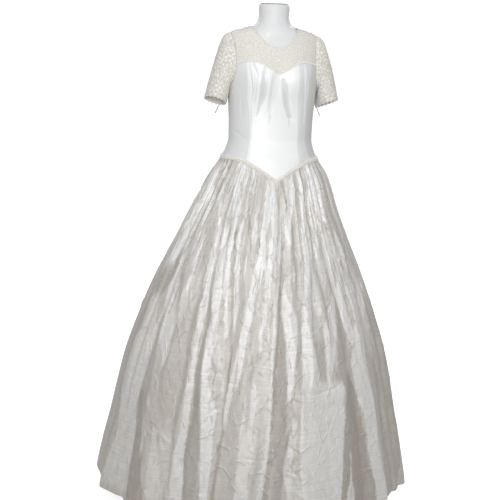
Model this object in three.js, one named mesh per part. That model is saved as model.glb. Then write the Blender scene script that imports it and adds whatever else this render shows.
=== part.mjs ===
// A floor-length wedding gown standing on a limbless dress form.
// Satin princess bodice with a sweetheart edge, sheer lace yoke and short lace sleeves,
// a pointed basque waist under a braid, and a full gathered skirt that sweeps out behind.
// Millimetres, +Z up, the front of the gown faces -Y, +X is the gown's own left side.
// The origin is the middle of the stand's foot, on the floor.
import * as THREE from "three";

// Driving dimensions: walls and gaps
const SATIN_WALL = 1.5;
const LACE_WALL = 1.2;
const SKIRT_WALL = 1.6;
const SEAM_GAP = 0.3;
const FORM_CLEARANCE = 2.5;
const RIDGE_CLEARANCE = 0.8;
const NECK_CLEARANCE = 5;

// Driving dimensions: heights above the floor
const NECK_TOP = 1645;
const SHOULDER_TIP = 1557;
const ARMPIT = 1385;
const FORM_BOTTOM = 900;
const HEM = 120;

// The figure that the bodice is cut for, as level sections from the hips to the neck.
// roundness is the exponent of the section's superellipse: 2 is an ellipse,
// and less is more pointed at the sides.
const TORSO = [
  { height: 900, halfWidth: 166, front: 110, back: 118, roundness: 2.2 },
  { height: 1000, halfWidth: 173, front: 119, back: 130, roundness: 2.2 },
  { height: 1100, halfWidth: 168, front: 122, back: 126, roundness: 2.2 },
  { height: 1165, halfWidth: 156, front: 113, back: 112, roundness: 2.2 },
  { height: 1195, halfWidth: 141, front: 104, back: 99, roundness: 2.2 },
  { height: 1235, halfWidth: 131, front: 95, back: 87, roundness: 2.2 },
  { height: 1290, halfWidth: 132, front: 97, back: 90, roundness: 2.2 },
  { height: 1340, halfWidth: 135, front: 103, back: 95, roundness: 2.2 },
  { height: 1385, halfWidth: 139, front: 110, back: 100, roundness: 2.2 },
  { height: 1425, halfWidth: 143, front: 113, back: 104, roundness: 2.2 },
  { height: 1470, halfWidth: 147, front: 105, back: 102, roundness: 2.1 },
  { height: 1515, halfWidth: 149, front: 84, back: 94, roundness: 1.9 },
  { height: 1540, halfWidth: 146, front: 74, back: 84, roundness: 1.7 },
  { height: 1557, halfWidth: 135, front: 66, back: 74, roundness: 1.6 },
  { height: 1569, halfWidth: 103, front: 60, back: 66, roundness: 1.6 },
  { height: 1578, halfWidth: 70, front: 55, back: 60, roundness: 1.9 },
  { height: 1590, halfWidth: 55, front: 52, back: 54, roundness: 2 },
  { height: 1612, halfWidth: 49, front: 49, back: 48, roundness: 2 },
  { height: 1645, halfWidth: 48, front: 48, back: 46, roundness: 2 },
];

// The bodice's cups, shaped by its princess seams.
const CUP = { across: 64, spread: 46, height: 1416, rise: 62, fall: 48, depth: 15 };

// Edges of the bodice by turn: 0 degrees is the centre front, 90 the side seam, 180 the centre back.
const SWEETHEART = [
  { turn: 0, height: 1434 },
  { turn: 10, height: 1449 },
  { turn: 20, height: 1463 },
  { turn: 32, height: 1471 },
  { turn: 45, height: 1468 },
  { turn: 56, height: 1462 },
];
const BACK_TOP = 1462;
const BASQUE_SEAM = [
  { turn: 0, height: 1102 },
  { turn: 9, height: 1123 },
  { turn: 18, height: 1139 },
  { turn: 27, height: 1151 },
  { turn: 42, height: 1166 },
  { turn: 60, height: 1170 },
  { turn: 180, height: 1170 },
];
const PRINCESS_TURN = 31;
const SIDE_TURN = 90;
const CENTRE_BACK_TURN = 180;

// The armhole, the same in front and behind, from the shoulder tip (share 0) to the armpit (share 1).
const ARMHOLE = [
  { share: 0, height: 1557, across: 135 },
  { share: 0.2, height: 1535, across: 129 },
  { share: 0.4, height: 1505, across: 124.5 },
  { share: 0.6, height: 1462, across: 123 },
  { share: 0.8, height: 1420, across: 128 },
  { share: 0.92, height: 1392, across: 136.5 },
  { share: 1, height: 1385, across: 139 },
];
// The satin meets the lace at this share of the armhole.
const SATIN_SHARE = 0.6;

// The neckline by turn, from its lowest point to the shoulder seam, in front and behind.
const NECKLINE = [
  { turn: 0, front: 1514, back: 1560 },
  { turn: 12, front: 1521, back: 1561 },
  { turn: 19, front: 1533, back: 1563 },
  { turn: 26, front: 1546, back: 1565 },
  { turn: 32, front: 1557, back: 1567 },
  { turn: 40, front: 1566, back: 1570 },
  { turn: 54, front: 1573, back: 1574 },
  { turn: 70, front: 1577, back: 1577 },
  { turn: 90, front: 1578, back: 1578 },
];

// The short sleeve, on the gown's left side: its hem ring and how far it leans out.
const SLEEVE = {
  hemX: 178,
  hemY: -5,
  hemZ: 1352,
  hemHalfAcross: 36,
  hemHalfDeep: 58,
  outwardTilt: 18,
  forwardTilt: 10,
  lean: 16,
  inset: 1,
};
// How far the sleeve runs straight out of the armhole and straight up from its hem, by its own angle:
// 0 is the shoulder, 90 the front, 180 the underarm.
const SLEEVE_EASE = [
  { angle: 0, fromArmhole: 37, fromHem: 128 },
  { angle: 90, fromArmhole: 26, fromHem: 60 },
  { angle: 180, fromArmhole: 9, fromHem: 16 },
];
const EDGING = { scallops: 18, band: 7, drop: 2.5, scallop: 3.5, wall: 1 };

// The ribbon end that hangs from inside each sleeve's hem.
const RIBBON = {
  width: 3,
  thick: 1,
  inside: 0.12,
  length: 34,
  angle: 238,
  swing: 4,
  steps: 8,
  clearance: 0.4,
};

// The skirt's outermost folds, as level sections from the hem to the seam. shift is the sideways hang.
const SKIRT = [
  { height: 4, halfWidth: 529, front: 420, back: 780, shift: -20 },
  { height: 122, halfWidth: 517, front: 407, back: 742, shift: -19 },
  { height: 332, halfWidth: 473, front: 372, back: 655, shift: -17 },
  { height: 537, halfWidth: 429, front: 322, back: 538, shift: -16 },
  { height: 706, halfWidth: 371, front: 268, back: 425, shift: -14 },
  { height: 838, halfWidth: 317, front: 224, back: 330, shift: -12 },
  { height: 970, halfWidth: 257, front: 182, back: 238, shift: -9 },
  { height: 1034, halfWidth: 229, front: 160, back: 192, shift: -5 },
  { height: 1100, halfWidth: 201, front: 140, back: 150, shift: 0 },
  { height: 1170, halfWidth: 166, front: 122, back: 118, shift: 2 },
];
const SKIRT_SEAM_GAP = 0.7;
const SKIRT_ROUNDNESS = 2.05;
const SKIRT_ROWS = [0, 0.16, 0.36, 0.56, 0.74, 0.88, 0.96, 1];
const SEAM_BLEND = 48;
const GATHERS = 48;
const GATHER = { atSeam: 4, full: 8, fullDrop: 45, atHem: 2, columns: 4 };
// The skirt's main folds: the turn of each ridge at any height,
// and the depth of the trough after it at the hem.
const FOLDS = [
  { ridge: -172, trough: 36 },
  { ridge: -154, trough: 42 },
  { ridge: -137, trough: 34 },
  { ridge: -118, trough: 42 },
  { ridge: -99, trough: 36 },
  { ridge: -80, trough: 42 },
  { ridge: -52, trough: 40 },
  { ridge: -28, trough: 28 },
  { ridge: -12, trough: 16 },
  { ridge: -2, trough: 26 },
  { ridge: 10, trough: 9 },
  { ridge: 29, trough: 40 },
  { ridge: 43, trough: 36 },
  { ridge: 68, trough: 38 },
  { ridge: 86, trough: 34 },
  { ridge: 104, trough: 42 },
  { ridge: 123, trough: 34 },
  { ridge: 143, trough: 40 },
  { ridge: 163, trough: 36 },
];
const FOLD_GROWTH = 900;
const SKIRT_FRONT_TURN = 56.25;
const SKIRT_BACK_TURN = 123.75;

// Braids, buttons and stand
const SWEETHEART_BRAID = { below: -3, above: 5, thick: 1.8, bump: 0.7, bumps: 24 };
const WAIST_BRAID = { below: 0.4, above: 9.5, thick: 2.4, bump: 0.9, bumps: 26 };
const BUTTON = { radius: 5.5, dome: 3.6, count: 12, top: 1540, bottom: 1186, sides: 8, seat: 0.4 };
const STAND = { poleRadius: 14, footRadius: 165, footThick: 14, bevel: 4, sides: 40 };
const NECK_CAP = { radius: 43, thick: 4, bevel: 1.5 };

const rad = THREE.MathUtils.degToRad;
const SEAM_TURN = THREE.MathUtils.radToDeg(SEAM_GAP / 2 / 110);

const satin = new THREE.MeshStandardMaterial({ color: "#f2f1ee", roughness: 0.32, metalness: 0 });
const taffeta = new THREE.MeshStandardMaterial({ color: "#e4e1da", roughness: 0.3, metalness: 0 });
const lace = new THREE.MeshStandardMaterial({ color: "#e6e1d4", roughness: 0.8, metalness: 0 });
const braid = new THREE.MeshStandardMaterial({ color: "#efe9df", roughness: 0.7, metalness: 0 });
const ribbonSatin = new THREE.MeshStandardMaterial({ color: "#dcd9d0", roughness: 0.4, metalness: 0 });
const whitePlastic = new THREE.MeshStandardMaterial({ color: "#e9eaea", roughness: 0.15, metalness: 0 });
const steel = new THREE.MeshStandardMaterial({ color: "#b9bcbf", roughness: 0.3, metalness: 1 });

const gown = new THREE.Group();
gown.name = "wedding_gown_on_form";

function addPart(name, geometry, material) {
  const mesh = new THREE.Mesh(geometry, material);
  mesh.name = name;
  gown.add(mesh);
}

// A smooth reading of one named column of a table. It passes through every row and never overshoots them.
function smoothColumn(rows, along, name) {
  const at = rows.map((row) => row[along]);
  const value = rows.map((row) => row[name]);
  const slope = at.slice(1).map((end, i) => (value[i + 1] - value[i]) / (end - at[i]));
  const tangent = at.map((_, i) => {
    const before = slope[Math.max(i - 1, 0)];
    const after = slope[Math.min(i, slope.length - 1)];
    return before * after <= 0 ? 0 : (2 * before * after) / (before + after);
  });
  return (where) => {
    const w = THREE.MathUtils.clamp(where, at[0], at[at.length - 1]);
    let i = 0;
    while (i < slope.length - 1 && w > at[i + 1]) i++;
    const span = at[i + 1] - at[i];
    const t = (w - at[i]) / span;
    const rise = t * t * (3 - 2 * t);
    const lead = t * (1 - t) * (1 - t) * span * tangent[i];
    const tail = t * t * (t - 1) * span * tangent[i + 1];
    return value[i] + (value[i + 1] - value[i]) * rise + lead + tail;
  };
}

function spread(from, to, count) {
  return Array.from({ length: count + 1 }, (_, i) => THREE.MathUtils.lerp(from, to, i / count));
}

const signedPower = (value, power) => Math.sign(value) * Math.abs(value) ** power;

// The figure's surface
const torso = {
  halfWidth: smoothColumn(TORSO, "height", "halfWidth"),
  front: smoothColumn(TORSO, "height", "front"),
  back: smoothColumn(TORSO, "height", "back"),
  roundness: smoothColumn(TORSO, "height", "roundness"),
};

function cupDepth(x, height) {
  const reach = height > CUP.height ? CUP.rise : CUP.fall;
  const across = (Math.abs(x) - CUP.across) / CUP.spread;
  const up = (height - CUP.height) / reach;
  return CUP.depth * Math.exp(-across * across - up * up);
}

function torsoSurface(height, turn, cups = 1) {
  const power = 2 / torso.roundness(height);
  const x = torso.halfWidth(height) * signedPower(Math.sin(rad(turn)), power);
  const facing = Math.cos(rad(turn));
  const depth = facing > 0 ? torso.front(height) : torso.back(height);
  const cup = facing > 0 ? cups * cupDepth(x, height) * Math.min(1, 3 * facing) : 0;
  return new THREE.Vector3(x, -depth * signedPower(facing, power) - cup, height);
}

// The outward normal of a surface point(across, up) by small differences;
// up runs to the left of across, seen from outside.
function normalOf(point, across, up, acrossStep, upStep) {
  const along = point(across + acrossStep, up).sub(point(across - acrossStep, up));
  const rise = point(across, up + upStep).sub(point(across, up - upStep));
  return along.cross(rise).normalize();
}

function torsoPoint(height, turn, lift, cups = 1) {
  const normal = normalOf((t, h) => torsoSurface(h, t, cups), turn, height, 0.6, 0.8);
  return torsoSurface(height, turn, cups).addScaledVector(normal, lift);
}

// The turn that puts a point of the figure this far across, at a height.
function turnAcross(height, across) {
  const share = Math.min(1, across / torso.halfWidth(height));
  return THREE.MathUtils.radToDeg(Math.asin(share ** (torso.roundness(height) / 2)));
}

// A closed wall between an outer and an inner grid of points, a row for each level.
// A ring joins its last column to its first.
function wallGeometry(outer, inner, ring = false) {
  const rows = outer.length;
  const columns = outer[0].length;
  const points = [...outer.flat(), ...inner.flat()];
  const index = [];
  const at = (side, row, column) => side * rows * columns + row * columns + (column % columns);
  const quad = (a, b, c, d) => index.push(a, b, c, a, c, d);
  const last = ring ? columns : columns - 1;
  const top = rows - 1;
  for (let c = 0; c < last; c++) {
    for (let r = 0; r < top; r++) {
      quad(at(0, r, c), at(0, r, c + 1), at(0, r + 1, c + 1), at(0, r + 1, c));
      quad(at(1, r, c), at(1, r + 1, c), at(1, r + 1, c + 1), at(1, r, c + 1));
    }
    quad(at(0, 0, c), at(1, 0, c), at(1, 0, c + 1), at(0, 0, c + 1));
    quad(at(0, top, c), at(0, top, c + 1), at(1, top, c + 1), at(1, top, c));
  }
  for (let r = 0; r < top && !ring; r++) {
    quad(at(0, r, 0), at(0, r + 1, 0), at(1, r + 1, 0), at(1, r, 0));
    quad(at(0, r, last), at(1, r, last), at(1, r + 1, last), at(0, r + 1, last));
  }
  return solidGeometry(points, index);
}

// A closed solid through level rings of points, with flat ends.
function loftGeometry(rings) {
  const columns = rings[0].length;
  const points = rings.flat();
  const index = [];
  for (let r = 0; r < rings.length - 1; r++) {
    for (let c = 0; c < columns; c++) {
      const next = (c + 1) % columns;
      const a = r * columns + c;
      const b = r * columns + next;
      const d = (r + 1) * columns + next;
      const e = (r + 1) * columns + c;
      index.push(a, b, d, a, d, e);
    }
  }
  const top = (rings.length - 1) * columns;
  for (let c = 1; c < columns - 1; c++) {
    index.push(0, c + 1, c);
    index.push(top, top + c, top + c + 1);
  }
  return solidGeometry(points, index);
}

// Indexed triangles as a geometry with its faces pointing out, whichever way the points ran.
function solidGeometry(points, index) {
  let volume = 0;
  for (let i = 0; i < index.length; i += 3) {
    const [a, b, c] = [points[index[i]], points[index[i + 1]], points[index[i + 2]]];
    volume += a.dot(b.clone().cross(c));
  }
  const facing = volume < 0 ? index.slice().reverse() : index;
  const geometry = new THREE.BufferGeometry().setFromPoints(points);
  geometry.setIndex(facing);
  geometry.computeVertexNormals();
  return geometry;
}

const mirrored = (point) => new THREE.Vector3(-point.x, point.y, point.z);

// Adds a piece of the gown's left side and its mirror image on the right.
function addPair(name, outer, inner, material, ring = false) {
  const flip = (grid) => grid.map((row) => row.map(mirrored));
  addPart(name + "_left", wallGeometry(outer, inner, ring), material);
  addPart(name + "_right", wallGeometry(flip(outer), flip(inner), ring), material);
}

// Armhole and bodice edges
const armhole = {
  height: smoothColumn(ARMHOLE, "share", "height"),
  across: smoothColumn(ARMHOLE, "share", "across"),
};
const armholeTurn = (share) => turnAcross(armhole.height(share), armhole.across(share));
const ARMHOLE_TURN = armholeTurn(SATIN_SHARE);
const basqueSeam = smoothColumn(BASQUE_SEAM, "turn", "height");
const sweetheart = smoothColumn(SWEETHEART, "turn", "height");

// The armhole's share at a turn between its front edge and the side seam.
function shareAtTurn(turn) {
  let low = SATIN_SHARE;
  let high = 1;
  for (let i = 0; i < 30; i++) {
    const middle = (low + high) / 2;
    if (armholeTurn(middle) < turn) low = middle;
    else high = middle;
  }
  return (low + high) / 2;
}

// The top edge of the satin: sweetheart in front, armhole at the side, straight behind.
function bodiceTop(turn) {
  const around = Math.abs(turn);
  if (around <= ARMHOLE_TURN) return sweetheart(around);
  if (around >= CENTRE_BACK_TURN - ARMHOLE_TURN) return BACK_TOP;
  return armhole.height(shareAtTurn(around <= SIDE_TURN ? around : CENTRE_BACK_TURN - around));
}

// Bodice panels
const PRINCESS_COLUMNS = 7;
const BODICE_ROWS = [0, 0.035, 0.08, 0.125, 0.17, 0.215, 0.3, 0.45, 0.62, 0.8, 0.9, 1];

function bodicePanel(turns) {
  const grid = (lift) =>
    BODICE_ROWS.map((up) =>
      turns.map((turn) => {
        const low = basqueSeam(Math.abs(turn)) + SEAM_GAP / 2;
        const high = bodiceTop(turn) - SEAM_GAP / 2;
        return torsoPoint(THREE.MathUtils.lerp(low, high, up), turn, lift);
      }),
    );
  return [grid(SATIN_WALL), grid(0)];
}

function buildBodice() {
  const frontEdge = PRINCESS_TURN - SEAM_TURN;
  const frontTurns = [
    ...spread(-frontEdge, 0, PRINCESS_COLUMNS),
    ...spread(0, frontEdge, PRINCESS_COLUMNS).slice(1),
  ];
  addPart("bodice_front", wallGeometry(...bodicePanel(frontTurns)), satin);
  const underarm = spread(SATIN_SHARE, 1, 7).map(armholeTurn).slice(1, -1);
  const sideTurns = [
    ...spread(PRINCESS_TURN + SEAM_TURN, ARMHOLE_TURN, 4),
    ...underarm,
    SIDE_TURN - SEAM_TURN,
  ];
  addPair("bodice_side_front", ...bodicePanel(sideTurns), satin);
  const backTurns = [
    SIDE_TURN + SEAM_TURN,
    ...underarm.map((turn) => CENTRE_BACK_TURN - turn).reverse(),
    ...spread(CENTRE_BACK_TURN - ARMHOLE_TURN, CENTRE_BACK_TURN - SEAM_TURN, 5),
  ];
  addPair("bodice_back", ...bodicePanel(backTurns), satin);
}

// Lace yoke
const NECK_SHARE = PRINCESS_TURN / ARMHOLE_TURN;
const YOKE_ROWS = [0, 0.25, 0.5, 0.7, 0.84, 0.93, 0.975, 0.992, 1];
const neckline = {
  front: smoothColumn(NECKLINE, "turn", "front"),
  back: smoothColumn(NECKLINE, "turn", "back"),
};
const shoulderShare = (share) => (share - NECK_SHARE) / (1 - NECK_SHARE);

// The turn and height of the yoke's upper edge, by its share of the way
// from the middle to the shoulder tip.
function yokeTop(share, edge) {
  const turn = SIDE_TURN * Math.min(1, share / NECK_SHARE);
  const ridge = THREE.MathUtils.clamp(shoulderShare(share), 0, 1);
  return { turn, height: THREE.MathUtils.lerp(edge(turn), SHOULDER_TIP, ridge) };
}

// One half of the yoke, in front (facing 1) or behind (facing -1),
// as a grid from its lower edge to its upper edge.
function yokeHalf(facing, shares, lift) {
  const neckEdge = facing > 0 ? neckline.front : neckline.back;
  return YOKE_ROWS.map((up) =>
    shares.map((share) => {
      const lowTurn = ARMHOLE_TURN * share;
      const lowHeight = bodiceTop(facing > 0 ? lowTurn : CENTRE_BACK_TURN - lowTurn) + SEAM_GAP / 2;
      const top = yokeTop(share, neckEdge);
      const height = THREE.MathUtils.lerp(lowHeight, top.height, up);
      const lowAcross =
        torso.halfWidth(lowHeight) * Math.sin(rad(lowTurn)) ** (2 / torso.roundness(lowHeight));
      const topAcross =
        torso.halfWidth(top.height) * Math.sin(rad(top.turn)) ** (2 / torso.roundness(top.height));
      const straight = THREE.MathUtils.lerp(lowAcross, topAcross, up);
      const edge = armholeAcross(height);
      const pulled = THREE.MathUtils.lerp(straight, edge, share ** 6);
      const across = Math.min(pulled, edge) * (1 - SEAM_GAP / 2 / 130);
      const turn = Math.min(turnAcross(height, across), SIDE_TURN - SEAM_TURN * 2);
      return torsoPoint(height, facing > 0 ? turn : CENTRE_BACK_TURN - turn, lift);
    }),
  );
}

// How far across the armhole's edge is at a height above the armpit.
function armholeAcross(height) {
  let low = 0;
  let high = 1;
  for (let i = 0; i < 30; i++) {
    const middle = (low + high) / 2;
    if (armhole.height(middle) > height) low = middle;
    else high = middle;
  }
  return armhole.across((low + high) / 2);
}

function buildYoke() {
  const shares = [...spread(0, NECK_SHARE, PRINCESS_COLUMNS), ...spread(NECK_SHARE, 1, 4).slice(1)];
  const whole = (lift) =>
    yokeHalf(1, shares, lift).map((row) => [...row.slice(1).reverse().map(mirrored), ...row]);
  addPart("yoke_front", wallGeometry(whole(LACE_WALL), whole(0)), lace);
  const centreShare = 0.003;
  const backShares = [centreShare, ...shares.slice(1)];
  const half = (lift) => yokeHalf(-1, backShares, lift);
  addPair("yoke_back", half(LACE_WALL), half(0), lace);
}

// Sleeves
const sleeveEase = {
  fromArmhole: smoothColumn(SLEEVE_EASE, "angle", "fromArmhole"),
  fromHem: smoothColumn(SLEEVE_EASE, "angle", "fromHem"),
};
const sleeveDown = new THREE.Vector3(Math.sin(rad(SLEEVE.lean)), 0, -Math.cos(rad(SLEEVE.lean)));

// The sleeve's seam on the armhole at its own angle, just inside the yoke's edge.
function sleeveSeam(angle) {
  const front = angle <= 180;
  const share = front ? angle / 180 : (360 - angle) / 180;
  const height = armhole.height(share);
  const turn = turnAcross(height, armhole.across(share));
  const facingTurn = front ? turn : CENTRE_BACK_TURN - turn;
  const point = torsoSurface(height, facingTurn);
  const normal = torsoPoint(height, facingTurn, 1).sub(point);
  const middle = torsoSurface(THREE.MathUtils.lerp(ARMPIT, SHOULDER_TIP, 0.5), SIDE_TURN);
  const inward = middle.sub(point).projectOnPlane(normal).normalize();
  const edge = point.clone().addScaledVector(inward, SLEEVE.inset).addScaledVector(normal, LACE_WALL);
  return { edge, normal };
}

function sleeveHem(angle) {
  const across = SLEEVE.hemHalfAcross * Math.cos(rad(angle));
  const deep = SLEEVE.hemHalfDeep * Math.sin(rad(angle));
  return new THREE.Vector3(
    SLEEVE.hemX + across * Math.cos(rad(SLEEVE.outwardTilt)),
    SLEEVE.hemY - deep * Math.cos(rad(SLEEVE.forwardTilt)),
    SLEEVE.hemZ + across * Math.sin(rad(SLEEVE.outwardTilt)) + deep * Math.sin(rad(SLEEVE.forwardTilt)),
  );
}

// A point of the sleeve's outer face: down is 0 at the armhole and 1 at the hem.
function sleeveSurface(angle, down) {
  const around = ((angle % 360) + 360) % 360;
  const halfAround = around <= 180 ? around : 360 - around;
  const { edge, normal } = sleeveSeam(around);
  const out = new THREE.Vector3(1, 0.4 * normal.y, 0).normalize();
  const hem = sleeveHem(around);
  const leave = edge.clone().addScaledVector(out, sleeveEase.fromArmhole(halfAround));
  const arrive = hem.clone().addScaledVector(sleeveDown, -sleeveEase.fromHem(halfAround));
  return new THREE.CubicBezierCurve3(edge, leave, arrive, hem).getPoint(down);
}

function sleevePoint(angle, down, lift) {
  const inside = THREE.MathUtils.clamp(down, 0.004, 0.996);
  const normal = normalOf((a, d) => sleeveSurface(a, d), angle, inside, 1.5, 0.004);
  return sleeveSurface(angle, down).addScaledVector(normal, lift);
}

// Each sleeve is a front and a back half that meet at the shoulder line and under the arm.
function buildSleeves() {
  const downs = [0, 0.1, 0.22, 0.36, 0.52, 0.7, 0.86, 1];
  const edgeGap = THREE.MathUtils.radToDeg(SEAM_GAP / 2 / SLEEVE.hemHalfAcross);
  const half = (name, from, to) => {
    const angles = spread(from + edgeGap, to - edgeGap, 13);
    const grid = (lift) => downs.map((down) => angles.map((angle) => sleevePoint(angle, down, lift)));
    addPair(name, grid(0), grid(-LACE_WALL), lace);
  };
  half("sleeve_front", 0, 180);
  half("sleeve_back", 180, 360);
}

// The scalloped lace edging, laid on the sleeve's hem and hanging a little below it.
function buildSleeveEdgings() {
  const angles = spread(0, 360, EDGING.scallops * 2).slice(0, -1);
  const bandShare = (angle) => EDGING.band / (3 * sleeveEase.fromHem(angle <= 180 ? angle : 360 - angle));
  const grid = (lift) => {
    const upper = angles.map((angle) => sleevePoint(angle, 1 - bandShare(angle), lift));
    const hem = angles.map((angle) => sleevePoint(angle, 1, lift));
    const lower = angles.map((angle, i) => {
      const wave = i % 2;
      return hem[i].clone().addScaledVector(sleeveDown, EDGING.drop + EDGING.scallop * wave);
    });
    return [upper, hem, lower];
  };
  addPair("sleeve_edging", grid(SEAM_GAP + EDGING.wall), grid(SEAM_GAP), lace, true);
}

// The ribbon ends: flat strips that leave the hem along the sleeve's inner face
// and swing a little outwards.
function buildRibbons() {
  const halfAngle = THREE.MathUtils.radToDeg(RIBBON.width / 2 / SLEEVE.hemHalfDeep);
  const edges = [RIBBON.angle - halfAngle, RIBBON.angle + halfAngle];
  const lift = -LACE_WALL - RIBBON.clearance;
  const grid = (extra) => {
    const inside = edges.map((angle) => sleevePoint(angle, 1 - RIBBON.inside, lift - extra));
    const hem = edges.map((angle) => sleevePoint(angle, 1, lift - extra));
    const hanging = spread(0, 1, RIBBON.steps).slice(1).map((t) =>
      hem.map((point) => {
        const out = new THREE.Vector3(RIBBON.swing * t * t, 0, 0);
        return point.clone().addScaledVector(sleeveDown, RIBBON.length * t).add(out);
      }),
    );
    return [inside, hem, ...hanging];
  };
  addPair("sleeve_ribbon", grid(0), grid(RIBBON.thick), ribbonSatin);
}

// Skirt
const skirt = {
  halfWidth: smoothColumn(SKIRT, "height", "halfWidth"),
  front: smoothColumn(SKIRT, "height", "front"),
  back: smoothColumn(SKIRT, "height", "back"),
  shift: smoothColumn(SKIRT, "height", "shift"),
};
const hollow = (phase) => 0.5 - 0.5 * Math.cos(2 * Math.PI * phase);

// How deep the main folds lie inside the outermost ridges, as a share of the way to the hem.
function mainFold(turn) {
  const around = turn < FOLDS[0].ridge ? turn + 360 : turn;
  let i = FOLDS.length - 1;
  while (FOLDS[i].ridge > around) i--;
  const next = i + 1 < FOLDS.length ? FOLDS[i + 1].ridge : FOLDS[0].ridge + 360;
  return FOLDS[i].trough * hollow((around - FOLDS[i].ridge) / (next - FOLDS[i].ridge));
}

function foldDepth(turn, drop) {
  const pressed = THREE.MathUtils.smoothstep(drop, 0, GATHER.fullDrop);
  const spent = THREE.MathUtils.smoothstep(drop, GATHER.fullDrop, FOLD_GROWTH);
  const opened = THREE.MathUtils.lerp(GATHER.atSeam, GATHER.full, pressed);
  const gather = opened * (1 - spent) + GATHER.atHem * spent;
  const grown = Math.min(1, drop / FOLD_GROWTH) ** 0.8;
  return gather * hollow((turn * GATHERS) / 360) + mainFold(turn) * grown;
}

function skirtSurface(turn, up) {
  const seam = basqueSeam(Math.abs(turn)) - SKIRT_SEAM_GAP;
  const height = THREE.MathUtils.lerp(HEM, seam, up);
  const drop = seam - height;
  const power = 2 / SKIRT_ROUNDNESS;
  const sine = Math.sin(rad(turn));
  const facing = Math.cos(rad(turn));
  const depth = facing > 0 ? skirt.front(height) : skirt.back(height);
  const halfWidth = skirt.halfWidth(height);
  const outward = new THREE.Vector3(sine / halfWidth, -facing / depth, 0).normalize();
  const edge = new THREE.Vector3(
    skirt.shift(height) + halfWidth * signedPower(sine, power),
    -depth * signedPower(facing, power),
    height,
  );
  const sewn = torsoSurface(height, turn);
  const free = THREE.MathUtils.smoothstep(drop, 0, SEAM_BLEND);
  const folded = Math.min(1, drop / (SEAM_BLEND / 3));
  const sunk = foldDepth(turn, drop) * folded * Math.max(free, 0.12);
  return sewn.lerp(edge, free).addScaledVector(outward, -sunk);
}

function skirtPanel(from, to) {
  const columns = Math.round(((to - from) / 360) * GATHERS * GATHER.columns);
  const turns = spread(from, to, columns);
  const seamTurn = (up) => THREE.MathUtils.lerp(SEAM_TURN * 0.25, SEAM_TURN, up);
  const grid = (lift) =>
    SKIRT_ROWS.map((up) =>
      turns.map((turn, i) => {
        const inset = i === 0 ? seamTurn(up) : i === columns ? -seamTurn(up) : 0;
        const inside = Math.min(Math.max(up, 0.004), 0.996);
        const normal = normalOf(skirtSurface, turn + inset, inside, 0.3, 0.003);
        return skirtSurface(turn + inset, up).addScaledVector(normal, lift);
      }),
    );
  return wallGeometry(grid(SKIRT_WALL), grid(0));
}

function buildSkirt() {
  addPart("skirt_front", skirtPanel(-SKIRT_FRONT_TURN, SKIRT_FRONT_TURN), taffeta);
  addPart("skirt_side_left", skirtPanel(SKIRT_FRONT_TURN, SKIRT_BACK_TURN), taffeta);
  addPart("skirt_side_right", skirtPanel(-SKIRT_BACK_TURN, -SKIRT_FRONT_TURN), taffeta);
  addPart("skirt_back_left", skirtPanel(SKIRT_BACK_TURN, CENTRE_BACK_TURN), taffeta);
  addPart("skirt_back_right", skirtPanel(-CENTRE_BACK_TURN, -SKIRT_BACK_TURN), taffeta);
}

// A braid laid on the bodice along an edge line, with a raised twist along its outer face.
function braidGeometry(turns, edgeHeight, size) {
  const seat = SATIN_WALL + SEAM_GAP;
  const twist = (i) => size.bump * Math.abs(Math.sin((Math.PI * size.bumps * i) / (turns.length - 1)));
  const level = (offset, lift) =>
    turns.map((turn, i) => torsoPoint(edgeHeight(turn) + offset, turn, lift(i)));
  const outer = (i) => seat + size.thick - size.bump + twist(i);
  const slope = 0.25 * (size.above - size.below);
  return wallGeometry(
    [level(size.below + slope, outer), level(size.above - slope, outer)],
    [level(size.below, () => seat), level(size.above, () => seat)],
  );
}

function buildBraids() {
  const topEdge = (turn) => sweetheart(Math.abs(turn));
  const waist = (turn) => basqueSeam(Math.abs(turn));
  const sweetheartTurns = spread(-ARMHOLE_TURN + 1, ARMHOLE_TURN - 1, SWEETHEART_BRAID.bumps * 2);
  addPart("sweetheart_braid", braidGeometry(sweetheartTurns, topEdge, SWEETHEART_BRAID), braid);
  const frontTurns = spread(-SIDE_TURN + SEAM_TURN, SIDE_TURN - SEAM_TURN, WAIST_BRAID.bumps * 2);
  addPart("waist_braid_front", braidGeometry(frontTurns, waist, WAIST_BRAID), braid);
  const backBraid = { ...WAIST_BRAID, bumps: WAIST_BRAID.bumps / 2 };
  const backTurns = spread(SIDE_TURN + SEAM_TURN, CENTRE_BACK_TURN - SEAM_TURN, backBraid.bumps * 2);
  const rightTurns = backTurns.map((turn) => -turn).reverse();
  addPart("waist_braid_back_left", braidGeometry(backTurns, waist, backBraid), braid);
  addPart("waist_braid_back_right", braidGeometry(rightTurns, waist, backBraid), braid);
}

// Covered buttons down the centre back
function buildButtons() {
  const profile = [
    new THREE.Vector2(0, 0),
    new THREE.Vector2(BUTTON.radius * 0.7, 0),
    new THREE.Vector2(BUTTON.radius, BUTTON.dome * 0.4),
    new THREE.Vector2(BUTTON.radius * 0.65, BUTTON.dome * 0.85),
    new THREE.Vector2(0, BUTTON.dome),
  ];
  const heights = spread(BUTTON.top, BUTTON.bottom, BUTTON.count - 1);
  heights.forEach((height, i) => {
    const lift = BUTTON.seat + (height > BACK_TOP ? LACE_WALL : SATIN_WALL);
    const seat = torsoPoint(height, CENTRE_BACK_TURN, lift);
    const out = torsoPoint(height, CENTRE_BACK_TURN, lift + 1).sub(seat);
    const button = new THREE.Mesh(new THREE.LatheGeometry(profile, BUTTON.sides), satin);
    button.name = "button_" + String(i + 1).padStart(2, "0");
    button.position.copy(seat);
    button.quaternion.setFromUnitVectors(new THREE.Vector3(0, 1, 0), out.normalize());
    gown.add(button);
  });
}

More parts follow.
